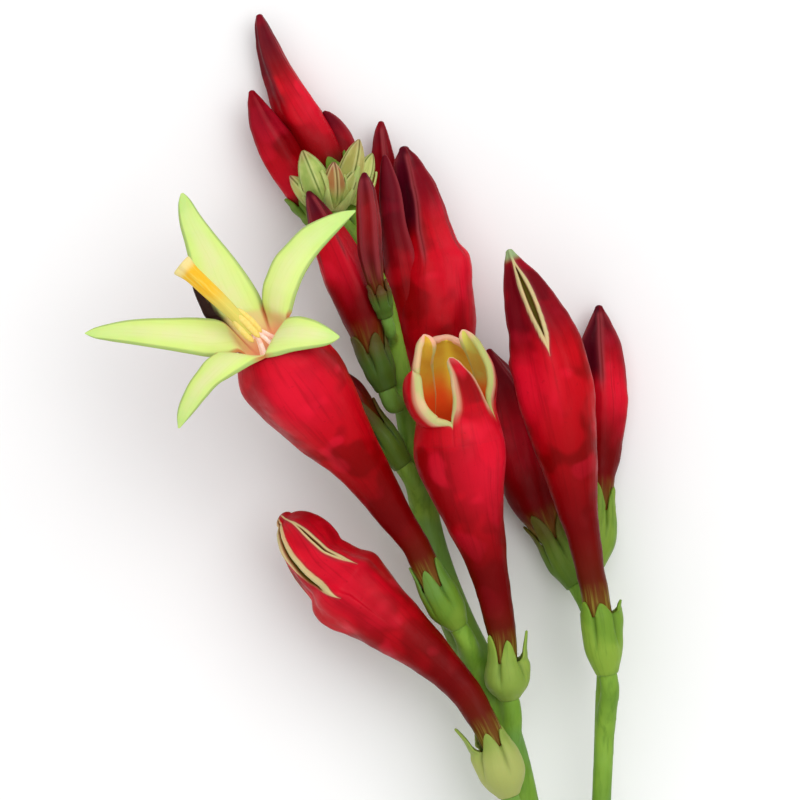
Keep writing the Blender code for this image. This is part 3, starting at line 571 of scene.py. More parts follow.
BUDS = {
    "splitting_bud": Bud(
        axis=[
            (10.9, -39.7, 12.9, 1.5), (9.4, -36.6, 13.1, 1.6), (7, -32.9, 13.1, 1.85),
            (2.8, -28.8, 12.8, 2.7), (-1, -25.6, 12.4, 3.6), (-3.6, -23.5, 12.1, 4.15),
            (-5.5, -22, 11.8, 4.5), (-6.6, -21, 11.7, 4.6), (-7.7, -19.95, 11.6, 3.8),
            (-9.3, -18.6, 11.4, 3.4), (-10.5, -17, 11.2, 3.35), (-11.3, -15.8, 11.1, 3.05),
            (-12.15, -14.75, 10.9, 2.4), (-12.8, -14.15, 10.7, 1.75), (-13.2, -13.8, 10.7, 1),
        ],
        hood=9.6, turns=[(0, 4), (3, 11), (6.8, 24), (9.5, 32), (12, 38)], base=(12.6, -45.6, 11.4),
        tip=(5, 0), foot=9, lit=0, glow=(8, 9), columns=30, rows=70, clear=0.5,
        seams=[(0, 9.9, 0.5, 0.11, 0.26, 0.34, True),
               (4, 11.4, 0, 0.22, 0.46, 0.9, False), (3, 9.5, 0.5, 0.12, 0.18, 0.18, True)],
        drifts={4: [(0, 20), (3.3, 16), (6, 11), (8.7, 11), (10.5, 16), (12, 20), (15, 20)]},
        bumps=[(-88, 11.3, 0.35, 34, 2, 0.9), (90, 11.2, 0.25, 34, 2, 0.9), (8, 10.6, 0.35, 24, 2.2, 0.8)],
        cup=Cup(wide=2.75, reach=1.7, turn=-90, horns={0: 0.9, 4: 0.9}, lengths={0: 3.9, 4: 2.8}, pale=0.9),
    ),
    "tall_bud": Bud(
        axis=[
            (22.8, -24.6, 12.2, 1.62), (21.8, -18.9, 12.8, 1.68), (20.5, -12.7, 13.2, 2.35),
            (19.2, -5.8, 13.5, 3.55), (17.9, 0.6, 13.6, 4.4), (16.6, 6.3, 13.6, 3.95),
            (15.35, 9.9, 13.5, 3.12), (14.6, 11.9, 13.4, 2.6), (13.8, 13.9, 13.3, 1.9),
            (13.1, 15.6, 13.2, 1.1), (12.6, 17, 13.1, 0.45),
        ],
        hood=12.4, turns=[(0, 3), (12, 4)], base=(23.9, -31.6, 10.6), tip=(13, 0.62, 8), foot=11,
        seams=[(0, 12.8, 0.7, 0.28, 0.46, 0.46, True)], cap=0.9, lit=-50,
        bumps=[(-88, 12.6, 0.3, 30, 1.6, 0.7)], glow=(15.5, 4.5),
        cup=Cup(wide=2.3, reach=1.6, turn=90, horns={0: 0.6}, lengths={0: 1.2}),
    ),
    "right_bud": Bud(
        axis=[
            (23.2, -12.7, 4.4, 1.15), (23.2, -9.2, 4, 1.6), (23.25, -5.6, 3.4, 2.35),
            (23.3, -1.2, 2.9, 2.85), (23.25, 1.5, 2.8, 2.75), (23.2, 4, 2.7, 2.6), (23.1, 6.5, 2.6, 2.2),
            (23.05, 8.6, 2.6, 1.4), (22.95, 10.6, 2.5, 0.45),
        ],
        hood=9, turns=[(0, -2), (9, 2)], base=(22.3, -19.2, 5.6), tip=(8.5, 0.7), foot=4,
        bumps=[(80, 10.6, 0.1, 34, 1.8, 1)], valves={4: 1}, valve_end=9.5, fine=True, lit=40,
        wide_rosy=2.2, cup=Cup(wide=2.2, reach=3, turn=60, painted_shade=0.25),
    ),
    "inner_bud": Bud(
        axis=[
            (17.6, -16.2, 4.4, 1.3), (16.4, -13.5, 4.2, 2.2), (14.9, -10.2, 3.9, 3),
            (13.4, -5.2, 3.6, 3.3), (12.2, 0, 3.4, 2.8), (10.9, 3.6, 3.2, 1.5), (10.3, 5.6, 3.1, 0.4),
        ],
        hood=9, turns=[(0, 35)], base=(20.4, -21.4, 5.2), tip=(11, 0.75), foot=5, clear=0.5,
        cup=Cup(wide=2, reach=3, turn=-20, painted_shade=0.6, brown=0.6),
    ),
    "large_back_bud": Bud(
        axis=[
            (3.6, -8.6, 4.3, 1.4), (3.7, -4, 4.3, 1.9), (4, 2, 4.3, 3.4), (4.4, 9, 4.3, 4.45),
            (4.25, 13.4, 4.3, 4.15), (4.1, 15.9, 4.4, 3.8), (3.7, 17.5, 4.5, 3.2), (3, 20.2, 4.6, 2.75),
            (2.2, 23.4, 4.8, 2.35), (1.37, 25.6, 4.9, 1.95), (0.7, 27.6, 5.1, 1.35),
            (0.45, 28.8, 5.1, 0.6),
        ],
        loose_lobe=[
            (2.6, 5, 4.6, 1.2), (1.5, 8.5, 5.6, 1.9), (0.6, 12.5, 6.2, 2), (-0.1, 16.5, 6.6, 1.85),
            (-0.75, 20, 7, 1.5), (-1.15, 24, 7.3, 1.25), (-1.6, 27, 7.5, 0.65), (-1.75, 28, 7.5, 0.3),
        ],
        hood=12.8, turns=[(0, 15), (4.3, -5), (9.3, -18), (12, -17)], base=(2.6, -14.6, 5.4),
        tip=(10.5, 0.75, 4), foot=3, valves={4: 1}, valve_end=10.5, wide_rosy=1.5, lit=55, low=0.4,
        bumps=[(80, 13.4, 0.4, 30, 2.2, 1), (-62, 15, 1.5, 34, 7, 5)], fine=True,
        cup=Cup(wide=2, reach=2.5, turn=0, painted_shade=0.7),
    ),
    "slender_back_bud": Bud(
        axis=[
            (-2.6, 12.2, 3.8, 1.1), (-2.2, 15.6, 3.2, 1.4), (-1.8, 20.2, 2.7, 1.6),
            (-1.8, 25.2, 2.6, 1.55), (-2.05, 28.4, 2.6, 1.2), (-2.2, 30.8, 2.6, 0.75),
            (-2.2, 31.9, 2.6, 0.35),
        ],
        hood=8, turns=[(0, 10)], base=(-2.6, 7.6, 5.6), tip=(7, 0.62), foot=3, low=0.3,
        cup=Cup(wide=1.6, reach=2, turn=0, painted_shade=0.7),
    ),
    "dark_bud": Bud(
        axis=[
            (-3.2, 5.6, 13.6, 1.45), (-3.9, 8.2, 13.5, 2.1), (-4.9, 11.2, 13.4, 2.6),
            (-6.1, 14, 13.3, 2.7), (-7.5, 17.2, 13.2, 2.3), (-9.1, 20.7, 13, 1.45),
            (-10.1, 22.9, 12.9, 0.8), (-10.5, 23.8, 12.8, 0.35),
        ],
        hood=8.5, turns=[(0, 30), (9, 20)], base=(-1.5, 1.2, 13.1), tip=(6, 0.98), foot=4.5, sap=0.3,
        bumps=[(60, 9.4, 0.25, 30, 1.6, 0.8)], cup=Cup(wide=1.85, reach=2.2, turn=20, painted_shade=1, brown=0.5),
    ),
    "slender_dark_bud": Bud(
        axis=[
            (-2.4, 12.4, 16.4, 0.8), (-3, 14.4, 16.8, 1.05), (-3.5, 17.6, 17, 1.32),
            (-3.65, 21, 16.9, 1.32), (-3.85, 23.6, 16.6, 1.08), (-4.05, 25.2, 16.4, 0.7),
            (-4.1, 25.9, 16.3, 0.35),
        ],
        hood=12, turns=[(0, 30), (12, 36)], base=(-1.6, 9.6, 15.2), tip=(3, 0.85), foot=2, wide_rosy=1.9,
        sap=0.2, clear=0.85, cup=Cup(wide=1.2, reach=1.2, turn=10, painted_shade=0.9, brown=0.8),
    ),
    "hidden_bud": Bud(
        axis=[
            (-2.7, -3.2, 12, 1.1), (-3.9, -1.8, 12, 1.5), (-5.6, 0.2, 11.6, 1.9), (-7.2, 2, 11.2, 1.6),
            (-8.6, 3.8, 10.8, 0.4),
        ],
        hood=5, turns=[(0, 30)], base=(0.4, -7.6, 11.3), tip=(7, 0.85), foot=6, sap=0.1,
        cup=Cup(wide=1.75, reach=3.4, turn=10, painted_shade=0.85, brown=0.7),
    ),
    "upper_left_bud": Bud(
        axis=[
            (-7.2, 26, 4.8, 1.6), (-8.9, 28.8, 4.2, 2.2), (-11.3, 32.4, 3.2, 2.5),
            (-13.4, 36.2, 2.7, 1.95), (-14.9, 39.8, 2.6, 1.42), (-15.9, 42.9, 2.8, 0.85),
            (-16.2, 44.2, 2.8, 0.4),
        ],
        loose_lobe=[
            (-5.9, 25, 4.2, 1.4), (-6.2, 27.4, 4, 1.5), (-6.8, 29.8, 3.8, 1.45), (-7.6, 31.6, 3.6, 1.05),
            (-8.4, 32.8, 3.5, 0.55), (-8.7, 33.1, 3.5, 0.3),
        ],
        hood=11, turns=[(0, -32), (10, -20)], base=(-5.6, 22.4, 6.6), tip=(9, 0.8), foot=3,
        valves={4: 0.75, 3: 0.6}, valve_end=11.5, fine=True, clear=0.35, lit=45, low=0.25, sap=0,
        cup=Cup(wide=1.8, reach=2, turn=0, painted_shade=0.3),
    ),
    "outer_left_bud": Bud(
        axis=[
            (-10.6, 22.6, 5, 1.5), (-12, 25.2, 4.7, 2.1), (-13.8, 28.4, 4.6, 2.25),
            (-15.6, 31.6, 4.4, 1.75), (-16.6, 34, 4.2, 1), (-17.1, 35.4, 4.2, 0.4),
        ],
        hood=6.5, turns=[(0, 15)], base=(-9.2, 19.9, 5.6), tip=(11, 0.6, 2.5), foot=2, clear=0.35,
        lit=-30, low=0.25, sap=0, glow=(12.5, 3.5), cup=Cup(wide=1.5, reach=1.6, turn=0, painted_shade=0.35),
    ),
}
# Buds painted with the shaded copy of the red petals.
SHADED_BUDS = ("slender_dark_bud", "hidden_bud")
# Points on each side of a seam, rings along the tube and rings along the hood.
FINE = (18, 50, 88)
COARSE = (10, 36, 54)
LOOSE_ROWS, LOOSE_SIDES = 50, 48
SEAM_BLUR = 0.05
# How far a corolla's foot reaches down in its calyx, and how much narrower it gets there.
ROOT_LENGTH, ROOT_SHARE = 0.7, 0.9
# Angles and count of the small rings that close a tip.
TIP_ANGLES = np.radians((20, 45, 68, 84))


def seam_angles(per_side):
    """Angles round a corolla, crowded towards the five seams, and the offset from the nearest."""
    u = (np.arange(2 * per_side) - per_side) / per_side
    offset = 0.5 * SECTOR * np.sign(u) * np.abs(u) ** 2
    angles = (np.arange(5)[:, None] * SECTOR + offset).ravel()
    return angles, np.tile(offset, 5), np.repeat(np.arange(5), 2 * per_side)


def turn_at(to_tip, turns):
    """The turn of the seams at these distances from the tip."""
    places, degrees = zip(*turns)
    return np.radians(np.interp(to_tip, places, degrees))


def bulging(reach, bumps, angles, to_tip):
    """The reach with local swellings added."""
    for angle, place, height, spread, below, above in bumps:
        near = bell(apart(angles, math.radians(angle)), 0, math.radians(spread))
        reach = reach + height * bell(to_tip, place, np.where(to_tip > place, below, above)) * near
    return reach


def rooted(rings, direction):
    """Adds a ring that carries a corolla's foot down inside its calyx."""
    middle = rings[0].mean(axis=0)
    foot = middle + (rings[0] - middle) * ROOT_SHARE - direction * ROOT_LENGTH
    return np.concatenate((foot[None], rings))


def rounded_tip(rings, end):
    """Adds small rings that close a tip roundly."""
    middle = rings[-1].mean(axis=0)
    out = end.direction[-1] * end.radius[-1] * 0.8
    more = [middle + (rings[-1] - middle) * math.cos(a) + out * math.sin(a) for a in TIP_ANGLES]
    return np.concatenate((rings, more))


def lengthened(marks, before, after):
    """Marks whose first and last rows are repeated for added rings."""
    return {
        key: np.concatenate((np.repeat(v[:1], before, axis=0), v, np.repeat(v[-1:], after, axis=0)))
        for key, v in marks.items()
    }


def foot_marks(flower, run):
    """Where a corolla is brown at its foot, and where green streaks run up it."""
    foot = 1 - smooth(0.2 * flower.foot, flower.foot, run)
    return dict(foot=foot[:, None], sap=flower.sap * (1 - smooth(0.8, 4.2, run))[:, None])


# How near each angle is to the side that gets a painted highlight.
def lit_side(angles, lit):
    return bell(apart(angles, math.radians(lit)), 0, math.radians(60))


def seam_relief(bud, to_tip, radius, offset, number):
    """The height of a bud's seams with their lips and slits, and the marks that colour them."""
    away = radius[:, None] * np.abs(offset)
    signed = radius[:, None] * offset
    hood = smooth(bud.hood + 1.2, bud.hood - 1.2, to_tip) * smooth(0.2, 0.9, to_tip)
    lip = (0.06 * bell(away, 0.26, 0.16) - 0.09 * bell(away, 0, 0.08)) * hood * bud.clear
    lip = lip * min(1, radius.max() / 2.5)
    rosy = 0.75 * bud.clear * hood * bell(away, 0.05, 0.17 * bud.wide_rosy)
    # Painted shade along the groove of every seam in the hood.
    slit = 0.10 * bud.clear * hood * bell(away, 0, 0.05)
    cream = np.zeros_like(away)
    for k, start, end, gap, lip_minus, lip_plus, closes in bud.seams:
        x = np.clip((start - to_tip) / (start - end), 0, 1)
        lips = smooth(0, 0.22, x) * (1 - 0.75 * smooth(0.7, 1, x) * closes)
        half = gap * smooth(0.10, 0.50, x) * (1 - smooth(0.55, 1, x) * closes)
        outer = lip_minus * (lips if closes else smooth(0.35, 0.8, x))
        edge = half + np.where(signed >= 0, lip_plus * lips, outer)
        within = 1 - smooth(-SEAM_BLUR, SEAM_BLUR, away - edge)
        hole = (1 - smooth(-SEAM_BLUR, SEAM_BLUR, away - half)) * smooth(0.02, 0.06, half)
        raised = 0.30 * bell(away, 0.5 * (half + edge), 0.12 + 0.35 * (edge - half)) * lips
        raised = raised - 0.35 * hole * smooth(0, 0.3, x)
        inside = (to_tip <= start) & (number == k)
        cream = np.where(inside, within * (1 - hole), cream)
        # Painted shade fills each gap.
        slit = np.where(inside, hole, slit)
        rosy = np.where(inside, 0.5 * bell(away, edge + 0.1, 0.15), rosy)
        lip = np.where(inside, raised, lip)
    return lip, dict(cream=cream, slit=slit, rosy=rosy)


def closed_bud(name, bud, seed):
    """A bud whose five lobes still meet in seams, some of them gaping with pale lips."""
    per_side, tube_rows, hood_rows = FINE if bud.seams or bud.fine else COARSE
    angles, offset, number = seam_angles(bud.columns or per_side)
    axis = Axis(bud.axis)
    # Rings are closer together in the hood than in the tube.
    hood_start = axis.length - (bud.hood + 3)
    run = np.concatenate((np.linspace(0, hood_start, bud.rows or tube_rows, endpoint=False),
                          np.linspace(hood_start, axis.length, hood_rows)))
    here = axis.at(run)
    to_tip = (axis.length - run)[:, None]
    turns = angles + turn_at(to_tip, bud.turns)
    for k, drift in bud.drifts.items():
        turns = turns + (number == k) * np.cos(math.pi * offset / SECTOR) ** 2 * turn_at(to_tip, drift)
    ridges = 0.09 * smooth(bud.hood + 9, bud.hood, to_tip) * np.cos(5 * angles)
    reach = bulging(here.radius[:, None] * (1 + ridges), bud.bumps, turns, to_tip)
    lip, marks = seam_relief(bud, to_tip, here.radius, offset, number)
    reach = reach + lip
    rings = here.rings(turns, reach)
    uneven = 0.14 * lumps(rings, 3, seed) + 0.05 * lumps(rings, 1.1, seed + 5)
    rings += here.out(turns) * (uneven * smooth(1, 4, run)[:, None] * smooth(0, 1.5, to_tip))[..., None]
    fading, strength, full = (*bud.tip, 0.25 * bud.tip[0])[:3]
    dark = strength * smooth(fading, full, to_tip)
    valve = np.where(offset >= 0, number, number - 1) % 5
    for k, extra in bud.valves.items():
        reached = extra * smooth(bud.valve_end, 0.7 * bud.valve_end, to_tip)
        dark = np.where(valve == k, np.maximum(dark, reached), dark)
    # Painted highlight on the side that faces the light, near the widest part, and painted shade towards the
    # foot.
    middle, spread = bud.glow or (bud.hood + 1.5, 5)
    marks.update(
        foot_marks(bud, run), grain=grain_of(turns, run[:, None]), dark=dark * (1 - 0.5 * marks["cream"]),
        belly=0.75 * bell(to_tip, middle, spread) * lit_side(turns, bud.lit) * (1 - dark),
        low=bud.low * smooth(0.66, 0.20, run / axis.length)[:, None],
        cap=bud.cap * smooth(1.3, 0.4, to_tip),
    )
    shape = Shape()
    rings = rounded_tip(rooted(rings, here.direction[0]), here)
    shape.rings(rings, **lengthened(marks, 1, len(TIP_ANGLES)))
    if bud.loose_lobe:
        loose_lobe(shape, bud.loose_lobe)
    paint, slot = (SHADED_RED, "bud_dark") if name in SHADED_BUDS else (RED, "corolla_red")
    shape.piece(name + "_petals", paint, slot, name + "_corolla")


def loose_lobe(shape, stations):
    """One lobe that stands away from the rest of its bud."""
    axis = Axis(stations)
    run, here = axis.evenly(LOOSE_ROWS)
    angles = around(LOOSE_SIDES)
    keel = bell(apart(angles, 1.1), 0, 0.28)
    share = (run / axis.length)[:, None]
    marks = dict(grain=grain_of(angles, run[:, None]), dark=0.9 * smooth(0.2, 0.9, share),
                 rosy=0.75 * keel * smooth(0.2, 0.5, share))
    rings = here.rings(angles, here.radius[:, None] * (1 + 0.10 * keel))
    shape.rings(rounded_tip(rings, here), **lengthened(marks, 0, len(TIP_ANGLES)))


# Calyxes.

CALYX_FOOT = 1.25
CUP_ROWS, SEPAL_ROWS = 12, 10
# Points across a sepal, and points in the cleft beside it.
ACROSS, CLEFT = 9, 3
HALF_SEPAL = 0.5 * SECTOR * 0.90
# How far the cup stands off the corolla's foot, and the sepals off its skin.
CUP_OFF, SEPAL_OFF = 0.42, 0.34
# The direction of a calyx is taken over this length, before and after each place.
CALYX_EASE = 1.3


def foot_width(cup):
    """The radius of a calyx where its stalk ends."""
    return min(CALYX_FOOT, 0.75 * cup.wide)


def calyx(name, flower):
    """A green cup that hugs the corolla's foot and runs out into five pointed sepals."""
    cup = flower.cup
    inside = Axis(flower.axis)
    foot, foot_radius = inside.line[0, :3], inside.line[0, 3]
    base = np.asarray(flower.base, float)
    cup_length = float(np.linalg.norm(foot - base))
    total = cup_length + cup.reach
    start = base + (foot - base) * np.linspace(0, 1, 40, endpoint=False)[:, None]
    line = np.concatenate((start, inside.line[:, :3]))
    run = lengths(line)

    def place(distance):
        """The stretch at these distances from the calyx's base."""
        steps = (-CALYX_EASE, 0, CALYX_EASE)
        behind, here, ahead = (along_line(distance + step, run, line) for step in steps)
        return Stretch(here, unit(ahead - behind))

    def marks(angles, distance, cleft=0):
        along = distance / total
        # Painted shade: the dark mark darkens the clefts between sepals and whole calyxes that lie in shade.
        return dict(
            dark=np.clip(0.35 * cleft + 0.85 * cup.painted_shade, 0, 1), brown=cup.brown * smooth(0.45, 0.85, along),
            pale=cup.pale * (1 - 0.6 * smooth(0.55, 0.95, along)), grain=grain_of(angles, total * along),
        )

    snug = foot_radius + CUP_OFF
    foot_wide = foot_width(cup)
    profile = np.array([
        (0, foot_wide), (0.06, foot_wide + 0.08), (0.22, 0.80 * cup.wide), (0.42, 0.98 * cup.wide),
        (0.62, cup.wide), (0.84, 0.5 * (cup.wide + snug) + 0.1), (1, snug + 0.1),
    ])
    u = np.linspace(-1, 1, ACROSS)
    cleft_angles = np.linspace(HALF_SEPAL, SECTOR - HALF_SEPAL, CLEFT + 2)[1:-1]
    local = np.concatenate((u * HALF_SEPAL, cleft_angles))
    first_angle = math.radians(cup.turn)
    angles = (np.arange(5)[:, None] * SECTOR + local).ravel() + first_angle
    cleft = np.tile(np.concatenate(([0.45], np.zeros(ACROSS - 2), [0.45], np.ones(CLEFT))), 5)
    rib = np.tile(np.concatenate((1 - np.abs(u), np.zeros(CLEFT))), 5)
    rise = np.linspace(0, 1, CUP_ROWS)[:, None]
    reach = np.interp(rise, *profile.T) + 0.10 * rib * smooth(0.1, 0.6, rise)
    reach = reach - 0.34 * cleft * smooth(0.35, 0.9, rise)
    for sepal, horn in cup.horns.items():
        near = bell(apart(angles, sepal * SECTOR + first_angle), 0, HALF_SEPAL)
        reach = reach + horn * near * smooth(0.5, 1, rise)
    points = place(rise[:, 0] * cup_length).rings(angles[None, :], reach)
    points += lumps(points, 1.7, 11)[..., None] * 0.08
    index = np.arange(reach.size).reshape(reach.shape)
    shape = Shape()
    shape.add_grid(points, quads(closed(index)),
                   **marks(angles, rise * cup_length, cleft * smooth(0.40, 0.85, rise)))
    v = np.linspace(0, 1, SEPAL_ROWS + 1)[1:]
    for sepal in range(5):
        length = cup.reach * (1 + 0.14 * math.sin(2.7 * sepal + 5 * base[0]))
        length = cup.lengths.get(sepal, length)
        distance = cup_length + v * length
        reach = inside.sample(v * length)[:, 3] + SEPAL_OFF + 0.06 * v ** 2
        reach = reach + cup.horns.get(sepal, 0) * (1 + 0.6 * v)
        reach = reach + (snug + 0.1 - foot_radius - SEPAL_OFF) * (1 - smooth(0, 0.5, v))
        width = HALF_SEPAL * (1 - v) ** 0.65 + 0.02
        sway = 0.10 * math.sin(3.1 * sepal + base[2]) * v ** 2
        turn = sepal * SECTOR + first_angle + u * width[:, None] + sway[:, None]
        keel = 0.10 * (1 - np.abs(u)) * (1 - v)[:, None]
        rim = index[-1, sepal * len(local):][:ACROSS] - shape.count
        own = np.arange(turn.size).reshape(turn.shape)
        shape.add_grid(place(distance).rings(turn, reach[:, None] + keel), quads(np.vstack((rim, own))),
                       **marks(turn, distance[:, None]))
    made = shape.piece(name + "_sepals", SEPAL, "calyx_green", name + "_calyx")
    thick = made.modifiers.new("Thickness", "SOLIDIFY")
    thick.thickness = 0.3 * MM
    thick.offset = -1
    finer = made.modifiers.new("Finer", "SUBSURF")
    finer.levels = finer.render_levels = 1


# Open flowers.

TUBES = {
    "open_flower": Tube(
        axis=[
            (4, -21.3, 13.4, 1.5), (1.9, -16.9, 14.4, 1.65), (-0.8, -12.9, 15.6, 2.05),
            (-4.6, -7.4, 17.4, 3), (-8.4, -2.4, 20, 4.65), (-11.2, 1.4, 22.2, 5.6),
            (-13.9, 4.9, 24.6, 5.1), (-15.6, 7, 26.2, 3.6),
        ],
        tuck=0.1, base=(6.7, -26.1, 11.6), foot=9, seed=3, lit=-10, fade=(0.68, 0.22),
        bumps=[(-92, 4.2, 0.55, 26, 3, 2), (-38, 5.5, 0.3, 20, 5, 2.5), (20, 5, 0.3, 22, 6, 2.5)],
        cup=Cup(wide=2.15, reach=2.8, turn=-90, painted_shade=0.25),
    ),
    "half_open_flower": Tube(
        axis=[
            (12, -29.9, 11.6, 1.5), (11.7, -26.7, 12.2, 1.66), (10.3, -19.8, 13.6, 2.2),
            (8.5, -13.2, 14.8, 3.55), (7.25, -7.6, 15.7, 4.95), (6.8, -4.9, 16.2, 5.1),
            (6.6, -2.9, 16.5, 4.82),
        ],
        tuck=0.45, base=(12.6, -34.4, 10.2), foot=8, seed=7, lit=40, fade=(0.8, 0.32),
        bumps=[(-85, 3, 0.25, 26, 2, 1.5), (20, 3, 0.2, 20, 4, 2), (62, 2, 0.2, 20, 5, 2)],
        cup=Cup(wide=2.65, reach=3, turn=90, horns={0: 0.6}, pale=0.25),
    ),
}
FLOWERS = {**BUDS, **TUBES}
HOLLOW = 0.55
TUBE_WALL = 0.8
TUBE_SIDES, OUTER_ROWS, INNER_ROWS = 140, 110, 40


def tube_skin(tube, run, angles, inset):
    """Points of a tube at these distances along it, this far below its outer skin."""
    axis = Axis(tube.axis)
    here = axis.at(run)
    to_tip = (axis.length - run)[:, None]
    reach = bulging((here.radius - inset)[:, None], tube.bumps, angles, to_tip)
    five = 0.03 * smooth(14, 5, to_tip) * smooth(0.3, 1.8, to_tip) * np.cos(5 * angles + tube.seed)
    points = here.rings(angles, reach * (1 + five))
    uneven = 0.16 * lumps(points, 3.4, tube.seed) + 0.05 * lumps(points, 1.2, tube.seed)
    uneven = uneven * smooth(1, 4, run)[:, None] * smooth(0.2, 2, to_tip)
    return points + here.out(angles) * uneven[..., None]


def painted_tube_highlight(tube, angles, to_tip):
    """Painted highlight: how brightly red a tube is painted here, on the side that faces the light near the
    mouth.
    """
    return 0.8 * bell(to_tip, 5, 7) * lit_side(angles, tube.lit)


def open_tube(name, tube):
    """The red tube of an open flower, hollow towards its mouth."""
    axis = Axis(tube.axis)
    angles = around(TUBE_SIDES)
    outer = np.linspace(0, 1, OUTER_ROWS)
    deep = np.linspace(0, 1, INNER_ROWS + 1)[1:]
    run = np.concatenate((outer, 1 - deep * (1 - HOLLOW))) * axis.length
    inward = np.concatenate((np.zeros(OUTER_ROWS), smooth(0, 0.10, deep)))
    # The end tucks in under the lobes that grow from it.
    tuck = tube.tuck * np.concatenate((smooth(0.93, 1, outer), np.ones(INNER_ROWS)))
    rings = tube_skin(tube, run, angles, tuck + (TUBE_WALL - tube.tuck) * inward)
    # Painted highlight near the mouth on the lit side, and painted shade towards the foot.
    marks = dict(foot_marks(tube, run), grain=grain_of(angles, run[:, None]), inner=inward[:, None],
                 belly=painted_tube_highlight(tube, angles, (axis.length - run)[:, None]),
                 low=0.9 * smooth(*tube.fade, run / axis.length)[:, None])
    shape = Shape()
    shape.rings(rooted(rings, axis.at(run).direction[0]), **lengthened(marks, 1, 0))
    shape.piece(name + "_tube_wall", RED, "corolla_red", name + "_tube")


def mouth(tube):
    """The stretch at the very end of a tube."""
    axis = Axis(tube.axis)
    return axis.at(axis.length)


# The star's lobes, from the throat outwards: x, y, z of one edge and of the other. With each
# lobe go the angles of its two edges round the mouth, and how much its face is cushioned.
STAR = {
    "back": (227, 296, 0.16, [
        (-20.5, 8.86, 24, -15.6, 10.1, 23.7), (-22, 9.43, 24.3, -15.9, 11.2, 23.6),
        (-22.7, 10.7, 24.2, -16.5, 12.5, 23.4), (-23.6, 13, 23.7, -17.7, 14.4, 22.9),
        (-23.9, 15.4, 22.9, -19.25, 16.5, 22.2), (-24.5, 18, 21.9, -21.3, 19, 21.3),
        (-25.15, 20.4, 20.6, -23, 21.2, 20.2), (-25.4, 22.5, 19, -24.2, 23.05, 18.8),
        (-25.2, 23.7, 17.9, -24.9, 23.8, 17.9),
    ]),
    "upper_right": (296, 366, 0.2, [
        (-15.4, 9.7, 23.9, -12.9, 9.5, 26.3), (-15.75, 11, 24.4, -12.65, 10.25, 26.2),
        (-15.8, 11.85, 24.6, -12.5, 10.8, 26.1), (-15.65, 13.2, 24.8, -12.2, 11.85, 26.1),
        (-15.3, 14.15, 24.9, -11.95, 12.55, 26), (-14.4, 16.2, 24.8, -11.3, 14.15, 25.8),
        (-13, 17.8, 24.5, -10.45, 15.65, 25.4), (-11.15, 19.65, 24, -9.3, 17.2, 24.8),
        (-9, 20.8, 23.1, -7.7, 19, 23.7), (-6.8, 21.6, 22, -6.2, 20.5, 22.3),
        (-5.15, 21.8, 21, -5.1, 21.6, 21),
    ]),
    "right": (366, 440, 0.16, [
        (-13.1, 9.3, 27, -15.6, 5.05, 29.3), (-12.1, 9.55, 28.6, -14.1, 5.35, 30),
        (-11.15, 9.45, 29.4, -12.5, 5.75, 30.4), (-9.8, 9.05, 29.9, -10.6, 6.05, 30.5),
        (-8.6, 8.45, 29.9, -9, 6.3, 30.3), (-7.7, 7.9, 29.7, -7.8, 6.6, 29.9),
        (-6.95, 7.35, 29.4, -6.95, 7.1, 29.4),
    ]),
    "front_left": (515, 440, 0.18, [
        (-20.5, 5.4, 28, -15.75, 4.9, 29.7), (-21.5, 5.1, 28.8, -16.9, 4.45, 30.2),
        (-22.3, 4.45, 29.3, -18.3, 3.6, 30.5), (-23.1, 3.35, 29.5, -19.8, 2.65, 30.5),
        (-24.05, 2, 29.3, -21.15, 1.7, 30.1), (-24.7, 0.7, 29, -22.3, 0.4, 29.6),
        (-25.25, -0.7, 28.5, -23.35, -0.9, 28.9), (-25.5, -1.95, 28, -24.4, -2.2, 28.2),
        (-25.45, -3.2, 27.4, -25.25, -3.25, 27.4),
    ]),
    "left": (227, 155, 0.14, [
        (-19.7, 8.5, 24.5, -18.3, 5.65, 27.2), (-20.7, 9.1, 25.3, -19.8, 5.35, 27.3),
        (-22.3, 9.3, 25.8, -21.85, 5.2, 27.2), (-24.15, 9.37, 26, -23.9, 5.5, 27.1),
        (-26.2, 9.3, 26, -26.2, 5.9, 26.9), (-28.75, 9.25, 25.9, -28.75, 6.3, 26.6),
        (-31.3, 9.05, 25.6, -31.3, 6.7, 26.2), (-33.6, 8.6, 25.4, -33.6, 7, 25.7),
        (-35.1, 8.2, 25.2, -35.1, 7.2, 25.3), (-36.15, 7.7, 25, -36.15, 7.6, 25),
    ]),
}
# Depth below the mouth and distance from the axis, where all lobes come out of the tube.
THROAT = ((-4, 2.3), (-2.4, 2.5), (-0.9, 2.75))
LOBE_COLUMNS, STAR_ROWS, CUP_LOBE_ROWS = 21, 84, 64
# Painted shade: a near-black patch along the back lobe's left side, for a folded margin in shadow, left of
# this line and up to this y.
FOLD_START = np.array((-23.6, 13.9))
FOLD_END = np.array((-20, 8.9))
FOLD_TOP = 14


def looks_away(grid, row, outward):
    """Whether a blade's upper face looks against this direction."""
    middle = LOBE_COLUMNS // 2
    face = np.cross(grid[row, -1] - grid[row, 0], grid[row + 4, middle] - grid[row, middle])
    return face @ outward < 0


